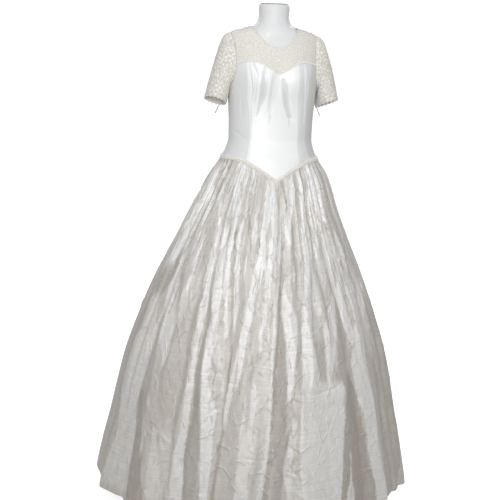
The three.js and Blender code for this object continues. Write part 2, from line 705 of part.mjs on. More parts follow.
// The dress form: a smooth torso just inside the cloth, its neck cap, and a pole on a flat round foot
function buildForm() {
  const turns = spread(0, 360, 28).slice(0, -1);
  const heights = [FORM_BOTTOM, 950, 1000, 1050, 1100, 1165, 1195, 1235, 1290, 1340, 1385, 1425, 1470, 1515];
  heights.push(1540, 1550, 1557, 1563, 1569, 1574, 1578, 1584, 1592, 1612, NECK_TOP);
  const rings = heights.map((height) => {
    const onShoulder = THREE.MathUtils.smoothstep(height, 1530, 1557);
    const onNeck = THREE.MathUtils.smoothstep(height, 1584, NECK_TOP);
    const beside = THREE.MathUtils.lerp(FORM_CLEARANCE, NECK_CLEARANCE, onShoulder) * (1 - onNeck);
    return turns.map((turn) => {
      const signed = turn > 180 ? turn - 360 : turn;
      const onRidge = Math.abs(Math.sin(rad(turn))) > 0.99 ? onShoulder : 0;
      const clearance = THREE.MathUtils.lerp(beside, RIDGE_CLEARANCE, onRidge);
      const point = torsoPoint(height, signed, -clearance, 0);
      if (height === FORM_BOTTOM || height === NECK_TOP) point.z = height;
      return point;
    });
  });
  addPart("form_torso", loftGeometry(rings), whitePlastic);
  const cap = new THREE.LatheGeometry(
    [
      new THREE.Vector2(0, 0),
      new THREE.Vector2(NECK_CAP.radius, 0),
      new THREE.Vector2(NECK_CAP.radius, NECK_CAP.thick - NECK_CAP.bevel),
      new THREE.Vector2(NECK_CAP.radius - NECK_CAP.bevel, NECK_CAP.thick),
      new THREE.Vector2(0, NECK_CAP.thick),
    ],
    24,
  );
  cap.rotateX(Math.PI / 2).translate(0, 0, NECK_TOP + SEAM_GAP);
  addPart("form_neck_cap", cap, whitePlastic);
}

function buildStand() {
  const poleBottom = STAND.footThick + SEAM_GAP;
  const poleLength = FORM_BOTTOM - SEAM_GAP - poleBottom;
  const pole = new THREE.CylinderGeometry(STAND.poleRadius, STAND.poleRadius, poleLength, 20);
  pole.rotateX(Math.PI / 2).translate(0, 0, poleBottom + poleLength / 2);
  addPart("stand_pole", pole, steel);
  const foot = new THREE.LatheGeometry(
    [
      new THREE.Vector2(0, 0),
      new THREE.Vector2(STAND.footRadius, 0),
      new THREE.Vector2(STAND.footRadius, STAND.footThick - STAND.bevel),
      new THREE.Vector2(STAND.footRadius - STAND.bevel, STAND.footThick),
      new THREE.Vector2(0, STAND.footThick),
    ],
    STAND.sides,
  );
  foot.rotateX(Math.PI / 2);
  addPart("stand_foot", foot, steel);
}

buildForm();
buildStand();
buildBodice();
buildYoke();
buildSleeves();
buildSleeveEdgings();
buildRibbons();
buildBraids();
buildButtons();
buildSkirt();

export default gown;
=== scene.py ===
"""A wedding dress on a dress form: lace yoke and sleeves, satin bodice and a gathered taffeta skirt."""

import logging
import math
from dataclasses import dataclass
from enum import Enum
from typing import Any, Callable

import bpy
import numpy as np
from mathutils import Matrix, Vector


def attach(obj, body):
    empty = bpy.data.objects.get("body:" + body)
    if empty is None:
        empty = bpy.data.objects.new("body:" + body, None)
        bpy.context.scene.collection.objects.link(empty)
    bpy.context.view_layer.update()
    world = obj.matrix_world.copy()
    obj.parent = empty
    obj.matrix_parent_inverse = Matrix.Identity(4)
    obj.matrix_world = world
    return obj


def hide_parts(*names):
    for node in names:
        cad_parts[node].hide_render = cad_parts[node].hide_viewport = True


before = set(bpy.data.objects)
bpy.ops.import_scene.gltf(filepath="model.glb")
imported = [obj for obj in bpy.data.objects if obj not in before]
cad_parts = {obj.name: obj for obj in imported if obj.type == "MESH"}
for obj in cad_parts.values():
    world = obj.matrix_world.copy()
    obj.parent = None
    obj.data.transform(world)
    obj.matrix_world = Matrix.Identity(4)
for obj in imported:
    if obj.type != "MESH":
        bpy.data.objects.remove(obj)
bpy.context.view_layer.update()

BODY = "root"
MM = 0.001
FULL_TURN = 360.0
SIDES = {"left": 1.0, "right": -1.0}
Array = np.ndarray
Object = bpy.types.Object
Material = bpy.types.Material
Mesh = bpy.types.Mesh
NodeTree = bpy.types.NodeTree
Socket = bpy.types.NodeSocket
Colour = tuple[float, float, float]
log = logging.getLogger("wedding_dress")


class SmoothTable:
    """Rows of sizes under named columns, read as smooth curves that never overshoot a row."""

    def __init__(self, names: str, *rows: tuple[float, ...]) -> None:
        """Keeps the rows.

        Args:
            names: Column names parted by spaces; the table is read along the first one.
            rows: A tuple of sizes for each row, in rising order of the first column.
        """
        self.names = names.split()
        self.values = np.array(rows, dtype=float)

    def read(self, name: str, where: Array | float) -> Array:
        """Reads one column.

        Args:
            name: The column's name.
            where: Places along the first column.

        Returns:
            The column's value at each place.
        """
        at = self.values[:, 0]
        value = self.values[:, self.names.index(name)]
        slope = np.diff(value) / np.diff(at)
        before = np.concatenate((slope[:1], slope))
        after = np.concatenate((slope, slope[-1:]))
        steady = before * after > 0
        tangent = np.where(steady, 2 * before * after / np.where(steady, before + after, 1.0), 0.0)
        w = np.clip(where, at[0], at[-1])
        i = np.clip(np.searchsorted(at, w) - 1, 0, len(slope) - 1)
        span = at[i + 1] - at[i]
        t = (w - at[i]) / span
        lead = t * (1 - t) ** 2 * span * tangent[i]
        tail = t * t * (t - 1) * span * tangent[i + 1]
        return value[i] + (value[i + 1] - value[i]) * t * t * (3 - 2 * t) + lead + tail


def signed_power(value: Array, power: Array | float) -> Array:
    """Returns the value's size raised to a power, with its sign kept."""
    return np.sign(value) * np.abs(value) ** power


def smoothstep(value: Array, low: float, high: float) -> Array:
    """Returns 0 below low, 1 above high and a smooth rise between them."""
    t = np.clip((value - low) / (high - low), 0.0, 1.0)
    return t * t * (3 - 2 * t)


def unit(vectors: Array) -> Array:
    """Returns the vectors at length 1."""
    return vectors / np.linalg.norm(vectors, axis=-1, keepdims=True)


def soft_tent(x: Array, lean: float, rounding: float) -> Array:
    """Gives the section of a pressed fold: two nearly flat flanks and a softly rounded crest.

    Args:
        x: Distance from the fold's line in half widths.
        lean: Place of the crest, from -1 to 1.
        rounding: Softness of the crest and the feet.

    Returns:
        The height of the fold, about 1 at its crest and 0 beyond its feet.
    """
    rise = (x + 1) / (1 + lean)
    fall = (1 - x) / (1 - lean)
    low = -rounding * np.logaddexp(-rise / rounding, -fall / rounding)
    return rounding * np.logaddexp(0.0, low / rounding)


@dataclass
class Figure:
    """The general figure under the dress, in millimetres and degrees of turn from the centre front."""

    sections: SmoothTable = SmoothTable(
        "height half_width front back roundness",
        (900, 166, 110, 118, 2.2), (1000, 173, 119, 130, 2.2), (1100, 168, 122, 126, 2.2),
        (1165, 156, 113, 112, 2.2), (1195, 141, 104, 99, 2.2), (1235, 131, 95, 87, 2.2),
        (1290, 132, 97, 90, 2.2), (1340, 135, 103, 95, 2.2), (1385, 139, 110, 100, 2.2),
        (1425, 143, 113, 104, 2.2), (1470, 147, 105, 102, 2.1), (1515, 149, 84, 94, 1.9),
        (1540, 146, 74, 84, 1.7), (1557, 135, 66, 74, 1.6), (1569, 103, 60, 66, 1.6),
        (1578, 70, 55, 60, 1.9), (1590, 55, 52, 54, 2), (1612, 49, 49, 48, 2),
        (1645, 48, 48, 46, 2),
    )
    cup_across: float = 64.0
    cup_spread: float = 46.0
    cup_height: float = 1416.0
    cup_rise: float = 62.0
    cup_fall: float = 48.0
    cup_depth: float = 15.0

    def cups_at(self, x: Array, height: Array) -> Array:
        """Returns how far the two cups stand out at a place across and a height."""
        reach = np.where(height > self.cup_height, self.cup_rise, self.cup_fall)
        across = (np.abs(x) - self.cup_across) / self.cup_spread
        up = (height - self.cup_height) / reach
        return self.cup_depth * np.exp(-across * across - up * up)

    def surface(self, height: Array, turn: Array, cups: float = 1.0) -> Array:
        """Gives points of the figure.

        Args:
            height: Heights above the floor.
            turn: Degrees from the centre front towards the dress's left.
            cups: Share of the cups that is counted.

        Returns:
            Points with x, y and z on the last axis.
        """
        height, turn = np.broadcast_arrays(np.asarray(height, float), np.asarray(turn, float))
        read = self.sections.read
        power = 2 / read("roundness", height)
        sine, facing = np.sin(np.radians(turn)), np.cos(np.radians(turn))
        x = read("half_width", height) * signed_power(sine, power)
        depth = np.where(facing > 0, read("front", height), read("back", height))
        cup = cups * self.cups_at(x, height) * np.clip(3 * facing, 0.0, 1.0)
        return np.stack((x, -depth * signed_power(facing, power) - cup, height), axis=-1)

    def normal(self, height: Array, turn: Array, cups: float = 1.0) -> Array:
        """Returns the outward directions at points of the figure."""
        around = self.surface(height, turn + 0.6, cups) - self.surface(height, turn - 0.6, cups)
        up = self.surface(height + 0.8, turn, cups) - self.surface(height - 0.8, turn, cups)
        return unit(np.cross(around, up))

    def lifted(self, height: Array, turn: Array, lift: Array | float,
               cups: float = 1.0) -> Array:
        """Returns points of the figure moved outwards by a lift."""
        lift = np.asarray(lift, float)[..., None]
        return self.surface(height, turn, cups) + self.normal(height, turn, cups) * lift

    def turn_across(self, height: Array, across: Array) -> Array:
        """Returns the turn at which the figure is this far across at a height."""
        share = np.clip(across / self.sections.read("half_width", height), 0.0, 1.0)
        return np.degrees(np.arcsin(share ** (self.sections.read("roundness", height) / 2)))


@dataclass
class PatternLines:
    """The edges and seams that the dress is cut to, on the figure."""

    figure: Figure
    satin_share: float = 0.6
    shoulder_tip: float = 1557.0
    armpit: float = 1385.0
    back_top: float = 1462.0
    princess_turn: float = 31.0
    satin_lift: float = 1.5
    lace_lift: float = 1.2
    sweetheart: SmoothTable = SmoothTable(
        "turn height", (0, 1434), (10, 1449), (20, 1463), (32, 1471), (45, 1468), (56, 1462),
    )
    basque: SmoothTable = SmoothTable(
        "turn height",
        (0, 1102), (9, 1123), (18, 1139), (27, 1151), (42, 1166), (60, 1170), (180, 1170),
    )
    armhole: SmoothTable = SmoothTable(
        "share height across",
        (0, 1557, 135), (0.2, 1535, 129), (0.4, 1505, 124.5), (0.6, 1462, 123),
        (0.8, 1420, 128), (0.92, 1392, 136.5), (1, 1385, 139),
    )
    neckline: SmoothTable = SmoothTable(
        "turn front back",
        (0, 1514, 1560), (12, 1521, 1561), (19, 1533, 1563), (26, 1546, 1565), (32, 1557, 1567),
        (40, 1566, 1570), (54, 1573, 1574), (70, 1577, 1577), (90, 1578, 1578),
    )

    def __post_init__(self) -> None:
        """Reads the armhole once, so that edges can be looked up along it."""
        share = np.linspace(0.0, 1.0, 401)
        self.hole_height = self.armhole.read("height", share)
        self.hole_across = self.armhole.read("across", share)
        self.hole_turn = self.figure.turn_across(self.hole_height, self.hole_across)
        self.satin_part = share >= self.satin_share
        self.armhole_turn = float(self.hole_turn[self.satin_part][0])

    def waist(self, turn: Array) -> Array:
        """Returns the height of the pointed waist seam."""
        return self.basque.read("height", np.abs(turn))

    def satin_top(self, turn: Array) -> Array:
        """Returns the top of the satin: sweetheart in front, armhole beside, straight behind."""
        around = np.abs(turn)
        folded = np.where(around <= 90, around, 180 - around)
        part = self.satin_part
        beside = np.interp(folded, self.hole_turn[part], self.hole_height[part])
        top = np.where(around <= 90, self.sweetheart.read("height", around), self.back_top)
        return np.where(folded > self.armhole_turn, beside, top)

    def hole_across_at(self, height: Array) -> Array:
        """Returns how far across the armhole's edge is at a height."""
        return np.interp(height, self.hole_height[::-1], self.hole_across[::-1])

    def along(self, height: Array, turn: Array, lift: float, step: float) -> tuple[Array, Array]:
        """Steps evenly along a line of the figure.

        Args:
            height: Heights along the line.
            turn: Turns along the line.
            lift: Distance from the figure.
            step: Wanted step in millimetres.

        Returns:
            The points, and the outward directions there.
        """
        places = even_steps(self.figure.lifted(height, turn, lift), step)
        rows = np.arange(len(turn))
        height, turn = np.interp(places, rows, height), np.interp(places, rows, turn)
        return self.figure.lifted(height, turn, lift), self.figure.normal(height, turn)


@dataclass(frozen=True)
class Crease:
    """A listed crease: its two ends as turn and height, and its size in millimetres."""

    turn: float
    height: float
    turn_end: float
    height_end: float
    half_width: float
    depth: float
    bow: float = 0.0


@dataclass(frozen=True)
class FoldFace:
    """A long flat face of a fold: its turn at each of FACE_HEIGHTS, its ends and its sizes in millimetres."""

    line: tuple[float, ...]
    top: float
    bottom: float
    half_width: float
    half_width_hem: float
    shoulder: float = 16.0
    slope: float | None = None


FACE_HEIGHTS = (1050.0, 900.0, 750.0, 600.0, 450.0, 300.0, 150.0)


@dataclass(frozen=True)
class PaintedStrip:
    """A strip of painted highlight in the cloth's colour, at a tone up to 1, or of painted shade, down to -1.

    Each row is a height, the turn of the strip's right edge on the wearer and that of its left edge.
    """

    tone: float
    rows: tuple[tuple[float, float, float], ...]


class Relief:
    """Heights of folds and creases over a grid of turns and heights, in millimetres, and the painted
    highlight and shade of the cloth on the same grid.
    """

    TALLEST = 5.0
    DEEPEST = 24.0
    JAG_STEP = 7.0
    JAG_SHARE = 0.4
    WAVER_STEP = 37.0
    WAVER_SHARE = 0.9
    TALL_ENOUGH = 1550.0

    def __init__(self, turn: Array, height: Array, drop: Array,
                 pitch: Array, ragged: float, soft: float) -> None:
        """Starts a flat relief.

        Args:
            turn: Turn of each grid point, the same down each column.
            height: Height of each grid point.
            drop: Distance of each grid point below the seam that it hangs from.
            pitch: Millimetres to a degree of turn at each grid point.
            ragged: How far the edges of the painted highlight and shade waver.
            soft: Width of the edges of the painted highlight and shade.
        """
        self.turn, self.height, self.drop, self.pitch = turn, height, drop, pitch
        self.ragged, self.soft = ragged, soft
        self.field = np.zeros_like(height)
        self.painted_light = np.zeros_like(height)
        self.columns = turn[0]
        self.middle = float(self.columns.mean())

    def _window(self, low: float, high: float) -> slice:
        """Returns the columns whose turn is in a range."""
        return slice(*(int(edge) for edge in np.searchsorted(self.columns, (low, high))))

    def _whole_turns(self, turn: float) -> float:
        """Returns the whole turns that bring a turn nearest to this grid."""
        return FULL_TURN * round((self.middle - turn) / FULL_TURN)

    def add_face(self, face: FoldFace, fold: Callable[[Array, Array], Array],
                 facing: Array, steepest: float) -> None:
        """Presses a flat face into the main folds, with a ragged crease on both sides.

        Args:
            face: The face.
            fold: Gives the depth of the main folds at a turn and a drop.
            facing: Slope across the cloth that turns it to the viewer, at each grid point.
            steepest: Greatest slope of a face.
        """
        heights, turns = FACE_HEIGHTS[::-1], face.line[::-1]
        shift = self._whole_turns(face.line[3])
        line = np.interp(self.height[:, 0], heights, turns) + shift
        reach = (max(face.half_width, face.half_width_hem) + face.shoulder + 8) / float(self.pitch.min())
        cut = self._window(line.min() - reach, line.max() + reach)
        if cut.stop <= cut.start:
            return
        height, drop, pitch = self.height[:, cut], self.drop[:, cut], self.pitch[:, cut]
        line = np.interp(height, heights, turns) + shift
        wave = 2 * math.pi * height
        start = 1.7 * face.line[3]
        ragged = 1.6 * np.sin(wave / 230 + start) + 0.9 * np.sin(wave / 87 + 2 * start)
        across = (self.turn[:, cut] - line) * pitch - ragged
        share = (heights[-1] - height) / (heights[-1] - heights[0])
        half = face.half_width + (face.half_width_hem - face.half_width) * share
        half = np.maximum(3.0, half * (1 + 0.25 * np.sin(wave / 260 + 2.6 * start)))
        inside = np.clip(across, -half, half)
        limit = np.minimum(steepest, self.TALLEST / half)
        slope = np.clip(facing[:, cut], -limit, limit) if face.slope is None else face.slope
        pressed = slope * inside + fold(line + inside / pitch, drop) - fold(line, drop)
        fall = np.clip(1 - (np.abs(across) - half) / face.shoulder, 0.0, 1.0)
        held = smoothstep(height, face.bottom - 60.0, face.bottom + 60.0)
        held = held * (1 - smoothstep(height, face.top - 110.0, face.top + 10.0))
        self.field[:, cut] += held * fall * np.clip(pressed, -self.DEEPEST, self.DEEPEST)

    def add_painted_light(self, painted_light: PaintedStrip, seed: int) -> None:
        """Paints a strip of highlight or shade into the cloth's colour, between two ragged edges.

        Args:
            painted_light: The strip of painted highlight or shade.
            seed: Seed of its ragged edges.
        """
        heights, left, right = np.array(sorted(painted_light.rows)).T
        shift = self._whole_turns(left.mean())
        cut = self._window(left.min() + shift - 4.0, right.max() + shift + 4.0)
        if cut.stop <= cut.start:
            return
        height, turn, pitch = self.height[:, cut], self.turn[:, cut] - shift, self.pitch[:, cut]
        draw = np.random.default_rng(seed)
        edges = []
        for away in (turn - np.interp(height, heights, left), np.interp(height, heights, right) - turn):
            edge = away * pitch
            for step, share in ((self.JAG_STEP, self.JAG_SHARE), (self.WAVER_STEP, self.WAVER_SHARE)):
                spots = np.arange(0.0, self.TALL_ENOUGH, step)
                edge = edge + share * np.interp(height, spots, draw.normal(0.0, self.ragged, len(spots)))
            edges.append(edge)
        inside = np.clip(np.minimum(*edges) / self.soft + 0.5, 0.0, 1.0)
        ends = smoothstep(height, heights[0] - 40, heights[0] - 5)
        ends = ends * (1 - smoothstep(height, heights[-1] + 5, heights[-1] + 40))
        # Blends the strip's painted highlight or painted shade into the grid.
        self.painted_light[:, cut] += (painted_light.tone - self.painted_light[:, cut]) * inside * ends

    def add_crease(self, crease: Crease) -> None:
        """Adds a short crease between two places, bowed to one side."""
        reach = (crease.half_width * 1.6 + abs(crease.bow)) / float(self.pitch.min())
        low, high = sorted((crease.turn, crease.turn_end))
        cut = self._window(low - reach, high + reach)
        if cut.stop <= cut.start:
            return
        pitch = self.pitch[:, cut]
        x = (self.turn[:, cut] - crease.turn) * pitch
        y = self.height[:, cut] - crease.height
        run_x = (crease.turn_end - crease.turn) * pitch
        run_y = crease.height_end - crease.height
        length = np.hypot(run_x, run_y)
        along = (x * run_x + y * run_y) / length**2
        across = (x * run_y - y * run_x) / length
        inside = np.clip(4 * along * (1 - along), 0.0, 1.0)
        across = across - crease.bow * inside
        section = soft_tent(across / crease.half_width, 0.0, 0.16)
        self.field[:, cut] += crease.depth * np.sqrt(inside) * section


def add_object(name: str, data: Any) -> Object:
    """Returns a new object of the scene for a mesh, light or camera."""
    made = bpy.data.objects.new(name, data)
    bpy.context.scene.collection.objects.link(made)
    return made


def shell(name: str, points: Array, flat: Array, ring: bool = False) -> Object:
    """Makes a one-layer sheet from a grid of points.

    Args:
        name: The piece's name.
        points: Rows of points in millimetres; rows rise and columns run towards the dress's left.
        flat: The same grid laid flat, in metres, with one more column if the sheet is a ring.
        ring: Joins the last column to the first.

    Returns:
        The sheet's object, with its flat places as a UV map.
    """
    rows, columns = points.shape[:2]
    spans = columns if ring else columns - 1
    r, c = np.meshgrid(np.arange(rows - 1), np.arange(spans), indexing="ij")
    following = (c + 1) % columns
    corners = np.stack((r * columns + c, r * columns + following,
                        (r + 1) * columns + following, (r + 1) * columns + c), axis=-1)
    faces = corners.reshape(-1, 4)
    mesh = bpy.data.meshes.new(name)
    mesh.vertices.add(rows * columns)
    mesh.vertices.foreach_set("co", (points.reshape(-1, 3) * MM).astype(np.float32).ravel())
    mesh.loops.add(faces.size)
    mesh.loops.foreach_set("vertex_index", faces.astype(np.int32).ravel())
    mesh.polygons.add(len(faces))
    mesh.polygons.foreach_set("loop_start", np.arange(0, faces.size, 4, dtype=np.int32))
    mesh.polygons.foreach_set("use_smooth", np.ones(len(faces), dtype=bool))
    places = np.stack((flat[:-1, :-1], flat[:-1, 1:], flat[1:, 1:], flat[1:, :-1]), axis=2)
    mesh.uv_layers.new(name="flat").data.foreach_set("uv", places.astype(np.float32).ravel())
    mesh.update(calc_edges=True)
    mesh.validate()
    return add_object(name, mesh)


def laid_flat(points: Array, ring: bool = False) -> Array:
    """Lays a grid of points flat by its lengths along rows and columns.

    Args:
        points: Rows of points in millimetres.
        ring: Adds the step from the last column back to the first.

    Returns:
        Flat places in metres.
    """
    closed = np.concatenate((points, points[:, :1]), axis=1) if ring else points
    across = np.linalg.norm(np.diff(closed, axis=1), axis=-1).mean(axis=0)
    along = np.linalg.norm(np.diff(closed, axis=0), axis=-1).mean(axis=1)
    u = np.concatenate(([0.0], np.cumsum(across)))
    v = np.concatenate(([0.0], np.cumsum(along)))
    return np.stack(np.meshgrid(u, v), axis=-1) * MM


def keep_painted_light(piece: Object, painted_light: Array) -> None:
    """Stores the painted highlight and shade at each point of a sheet, for its material's colour."""
    layer = piece.data.attributes.new("painted_light", "FLOAT", "POINT")
    layer.data.foreach_set("value", painted_light.astype(np.float32).ravel())


def finish_piece(piece: Object, material: Material,
                 replaces: tuple[str, ...] = ()) -> Object:
    """Dresses a piece and ties it to the frame.

    Args:
        piece: The piece.
        material: Its finish.
        replaces: CAD nodes that it stands for.

    Returns:
        The same piece.
    """
    piece.data.materials.clear()
    piece.data.materials.append(material)
    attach(piece, BODY)
    if replaces:
        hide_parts(*replaces)
    log.info("%s: %d faces", piece.name, len(piece.data.polygons))
    return piece


class NodeBook:
    """Adds nodes to a tree and sets or links their sockets."""

    def __init__(self, tree: NodeTree) -> None:
        """Keeps the tree."""
        self.tree = tree

    def add(self, kind: str, inputs: dict[str | int, Any] | None = None, **settings: Any) -> bpy.types.Node:
        """Adds a node.

        Args:
            kind: The node's type.
            inputs: Values or sockets for its inputs, by name or number.
            settings: Properties of the node.

        Returns:
            The node.
        """
        node = self.tree.nodes.new(kind)
        for key, value in settings.items():
            setattr(node, key, value)
        for key, value in (inputs or {}).items():
            socket = node.inputs[key]
            if isinstance(value, Socket):
                self.tree.links.new(value, socket)
            else:
                socket.default_value = value
        return node

    def link(self, source: Socket, target: Socket) -> None:
        """Links one socket to another."""
        self.tree.links.new(source, target)

    def math(self, operation: str, *values: Any) -> Socket:
        """Returns the result of a Math node."""
        return self.add("ShaderNodeMath", dict(enumerate(values)), operation=operation).outputs[0]

    def vector(self, operation: str, first: Any, second: Any) -> Socket:
        """Returns the result of a Vector Math node."""
        return self.add("ShaderNodeVectorMath", {0: first, 1: second}, operation=operation).outputs[0]

    def resized(self, vector: Socket, size: Socket) -> Socket:
        """Returns a vector times a number."""
        return self.add("ShaderNodeVectorMath", {0: vector, "Scale": size}, operation="SCALE").outputs[0]

    def ramp(self, value: Socket, low: float, high: float) -> Socket:
        """Returns 0 at low, 1 at high and a smooth rise between them."""
        ends = {"Value": value, "From Min": low, "From Max": high}
        return self.add("ShaderNodeMapRange", ends, interpolation_type="SMOOTHSTEP").outputs[0]

    def blend(self, factor: Socket, low: Colour, high: Colour) -> Socket:
        """Returns a colour between two colours."""
        inputs = {"Factor": factor, 6: (*low, 1.0), 7: (*high, 1.0)}
        return self.add("ShaderNodeMix", inputs, data_type="RGBA").outputs[2]

    def noise(self, vector: Socket, scale: Any, detail: float, roughness: float = 0.5,
              dimensions: str = "2D") -> Any:
        """Returns the outputs of a noise texture."""
        inputs = {"Vector": vector, "Scale": scale, "Detail": detail, "Roughness": roughness}
        return self.add("ShaderNodeTexNoise", inputs, noise_dimensions=dimensions).outputs

    def cells(self, vector: Socket, scale: Any, randomness: float, feature: str = "DISTANCE_TO_EDGE") -> Any:
        """Returns the outputs of a texture of flat cells."""
        inputs = {"Vector": vector, "Scale": scale, "Randomness": randomness}
        return self.add("ShaderNodeTexVoronoi", inputs, voronoi_dimensions="2D", feature=feature).outputs

    def raised(self, height: Socket, depth: float, strength: float) -> Socket:
        """Returns the normals of a surface raised by a height."""
        inputs = {"Height": height, "Distance": depth, "Strength": strength}
        return self.add("ShaderNodeBump", inputs).outputs[0]


class EffectGroup:
    """A shader node group with named inputs and outputs that several finishes share."""

    def __init__(self, name: str, inputs: dict[str, float], outputs: tuple[str, ...]) -> None:
        """Starts the group.

        Args:
            name: The group's name.
            inputs: Number inputs with their usual values; a Vector input is always there.
            outputs: Names of the number outputs.
        """
        self.tree = bpy.data.node_groups.new(name, "ShaderNodeTree")
        sockets = self.tree.interface
        sockets.new_socket("Vector", in_out="INPUT", socket_type="NodeSocketVector")
        for key, value in inputs.items():
            made = sockets.new_socket(key, in_out="INPUT", socket_type="NodeSocketFloat")
            made.default_value = value
        for key in outputs:
            sockets.new_socket(key, in_out="OUTPUT", socket_type="NodeSocketFloat")
        self.book = NodeBook(self.tree)
        self.given = self.book.add("NodeGroupInput").outputs
        self.result = self.book.add("NodeGroupOutput").inputs

    def put_out(self, name: str, socket: Socket) -> None:
        """Sends a socket to one of the group's outputs."""
        self.tree.links.new(socket, self.result[name])


def cloth_hand_group() -> NodeTree:
    """Makes the hand of a woven cloth: slubs across, tiny crumples and a faint mottle.

    Returns:
        A group with the outputs Tone, Height and Gloss.
    """
    group = EffectGroup("cloth_hand", {"Slubs": 700.0, "Crumples": 24.0, "Crumple Share": 0.5,
                                       "Streaks": 90.0, "Streak Share": 0.2, "Crinkles": 30.0,
                                       "Crinkle Share": 0.0}, ("Tone", "Height", "Gloss"))
    book, given = group.book, group.given
    flat = given["Vector"]
    slub = book.noise(book.vector("MULTIPLY", flat, (0.012, 1.0, 1.0)), given["Slubs"], 3.0, 0.6)[0]
    shift = book.vector("MULTIPLY", book.noise(flat, 9.0, 2.0)["Color"], (0.06, 0.06, 0.0))
    place = book.vector("ADD", flat, shift)
    stretched = book.vector("MULTIPLY", place, (1.0, 0.45, 1.0))
    facet = book.cells(stretched, given["Crumples"], 1.0, "F1")["Distance"]
    fine = book.noise(stretched, book.math("MULTIPLY", given["Crumples"], 3.1), 4.0, 0.55)[0]
    crumple = book.math("MULTIPLY_ADD", fine, 0.45, facet)
    crumple = book.math("MULTIPLY", crumple, given["Crumple Share"])
    streak = book.noise(book.vector("MULTIPLY", place, (1.0, 0.07, 1.0)), given["Streaks"], 2.5, 0.6)[0]
    crumple = book.math("MULTIPLY_ADD", streak, given["Streak Share"], crumple)
    folded = book.cells(book.vector("MULTIPLY", place, (1.0, 0.5, 1.0)), given["Crinkles"], 1.0)
    ridge = book.math("SUBTRACT", 1.0, book.ramp(folded["Distance"], 0.0, 0.10))
    ridge = book.math("MULTIPLY", ridge, book.ramp(book.noise(flat, 31.0, 1.0)[0], 0.44, 0.62))
    crumple = book.math("MULTIPLY_ADD", ridge, given["Crinkle Share"], crumple)
    mottle = book.math("MULTIPLY_ADD", fine, 0.3, book.math("MULTIPLY", streak, 0.3))
    group.put_out("Tone", book.math("MULTIPLY_ADD", slub, 0.4, mottle))
    group.put_out("Height", book.math("MULTIPLY_ADD", slub, 0.035, crumple))
    group.put_out("Gloss", book.ramp(slub, 0.25, 0.75))
    return group.tree


def lace_ground_group() -> NodeTree:
    """Makes machine lace: a fine net that carries five-petalled flowers and scrolling stems.

    Returns:
        A group with the outputs Cover, Tone and Height.
    """
    group = EffectGroup("lace_ground", {"Net": 520.0, "Flowers": 52.0, "Stems": 34.0},
                        ("Cover", "Tone", "Height"))
    book, given = group.book, group.given
    flat, size = given["Vector"], given["Flowers"]
    net = book.cells(flat, given["Net"], 0.15)
    thread = book.math("SUBTRACT", 1.0, book.ramp(net["Distance"], 0.10, 0.22))
    flower = book.cells(flat, size, 0.7, "F1")
    arm = book.vector("SUBTRACT", book.resized(flat, size), book.resized(flower["Position"], size))
    parts = book.add("ShaderNodeSeparateXYZ", {0: arm}).outputs
    petals = book.math("COSINE", book.math("MULTIPLY", book.math("ARCTAN2", parts[1], parts[0]), 5.0))
    inside = book.math("SUBTRACT", book.math("MULTIPLY_ADD", petals, 0.085, 0.33), flower["Distance"])
    petal = book.ramp(inside, 0.0, 0.05)
    outline = book.math("MULTIPLY", petal, book.math("SUBTRACT", 1.0, book.ramp(inside, 0.05, 0.12)))
    curl = book.math("ABSOLUTE", book.math("SUBTRACT", book.noise(flat, given["Stems"], 0.0)[0], 0.5))
    scroll = book.math("SUBTRACT", 1.0, book.ramp(curl, 0.012, 0.035))
    motif = book.math("MAXIMUM", petal, scroll)
    group.put_out("Cover", book.math("MAXIMUM", motif, thread))
    group.put_out("Tone", book.math("MAXIMUM", outline, book.math("MULTIPLY", motif, 0.7)))
    group.put_out("Height", book.math("ADD", outline, book.math("MULTIPLY", motif, 0.6)))
    return group.tree


def fine_wear_group() -> NodeTree:
    """Makes the faint scuffs of a hard surface in use.

    Returns:
        A group with the outputs Tone and Height.
    """
    group = EffectGroup("fine_wear", {"Scale": 30.0}, ("Tone", "Height"))
    book, place, scale = group.book, group.given["Vector"], group.given["Scale"]
    cloud = book.noise(place, scale, 5.0, dimensions="3D")
    grain = book.noise(place, book.math("MULTIPLY", scale, 14.0), 2.0, dimensions="3D")
    group.put_out("Tone", book.ramp(cloud[0], 0.35, 0.7))
    group.put_out("Height", grain[0])
    return group.tree


class Effects:
    """The shader node groups, each built once."""

    def __init__(self) -> None:
        """Builds the groups."""
        self.cloth_hand = cloth_hand_group()
        self.lace_ground = lace_ground_group()
        self.fine_wear = fine_wear_group()


class Coordinates(Enum):
    """Where a finish reads its pattern from."""

    FLAT = "UV"
    SOLID = "Object"


def start_finish(name: str, coordinates: Coordinates, group: NodeTree,
                 values: dict[str, float]) -> tuple[Material, NodeBook, Any, Any]:
    """Starts a material with a shared effect in it.

    Args:
        name: The finish's name.
        coordinates: Where the pattern is read from.
        group: The effect.
        values: The effect's own values here.

    Returns:
        The material, its node book, the effect's outputs and the shader's inputs.
    """
    material = bpy.data.materials.new(name)
    material.use_nodes = True
    book = NodeBook(material.node_tree)
    shader = material.node_tree.nodes["Principled BSDF"]
    place = book.add("ShaderNodeTexCoord").outputs[coordinates.value]
    effect = book.add("ShaderNodeGroup", node_tree=group)
    book.link(place, effect.inputs["Vector"])
    for key, value in values.items():
        effect.inputs[key].default_value = value
    return material, book, effect.outputs, shader.inputs


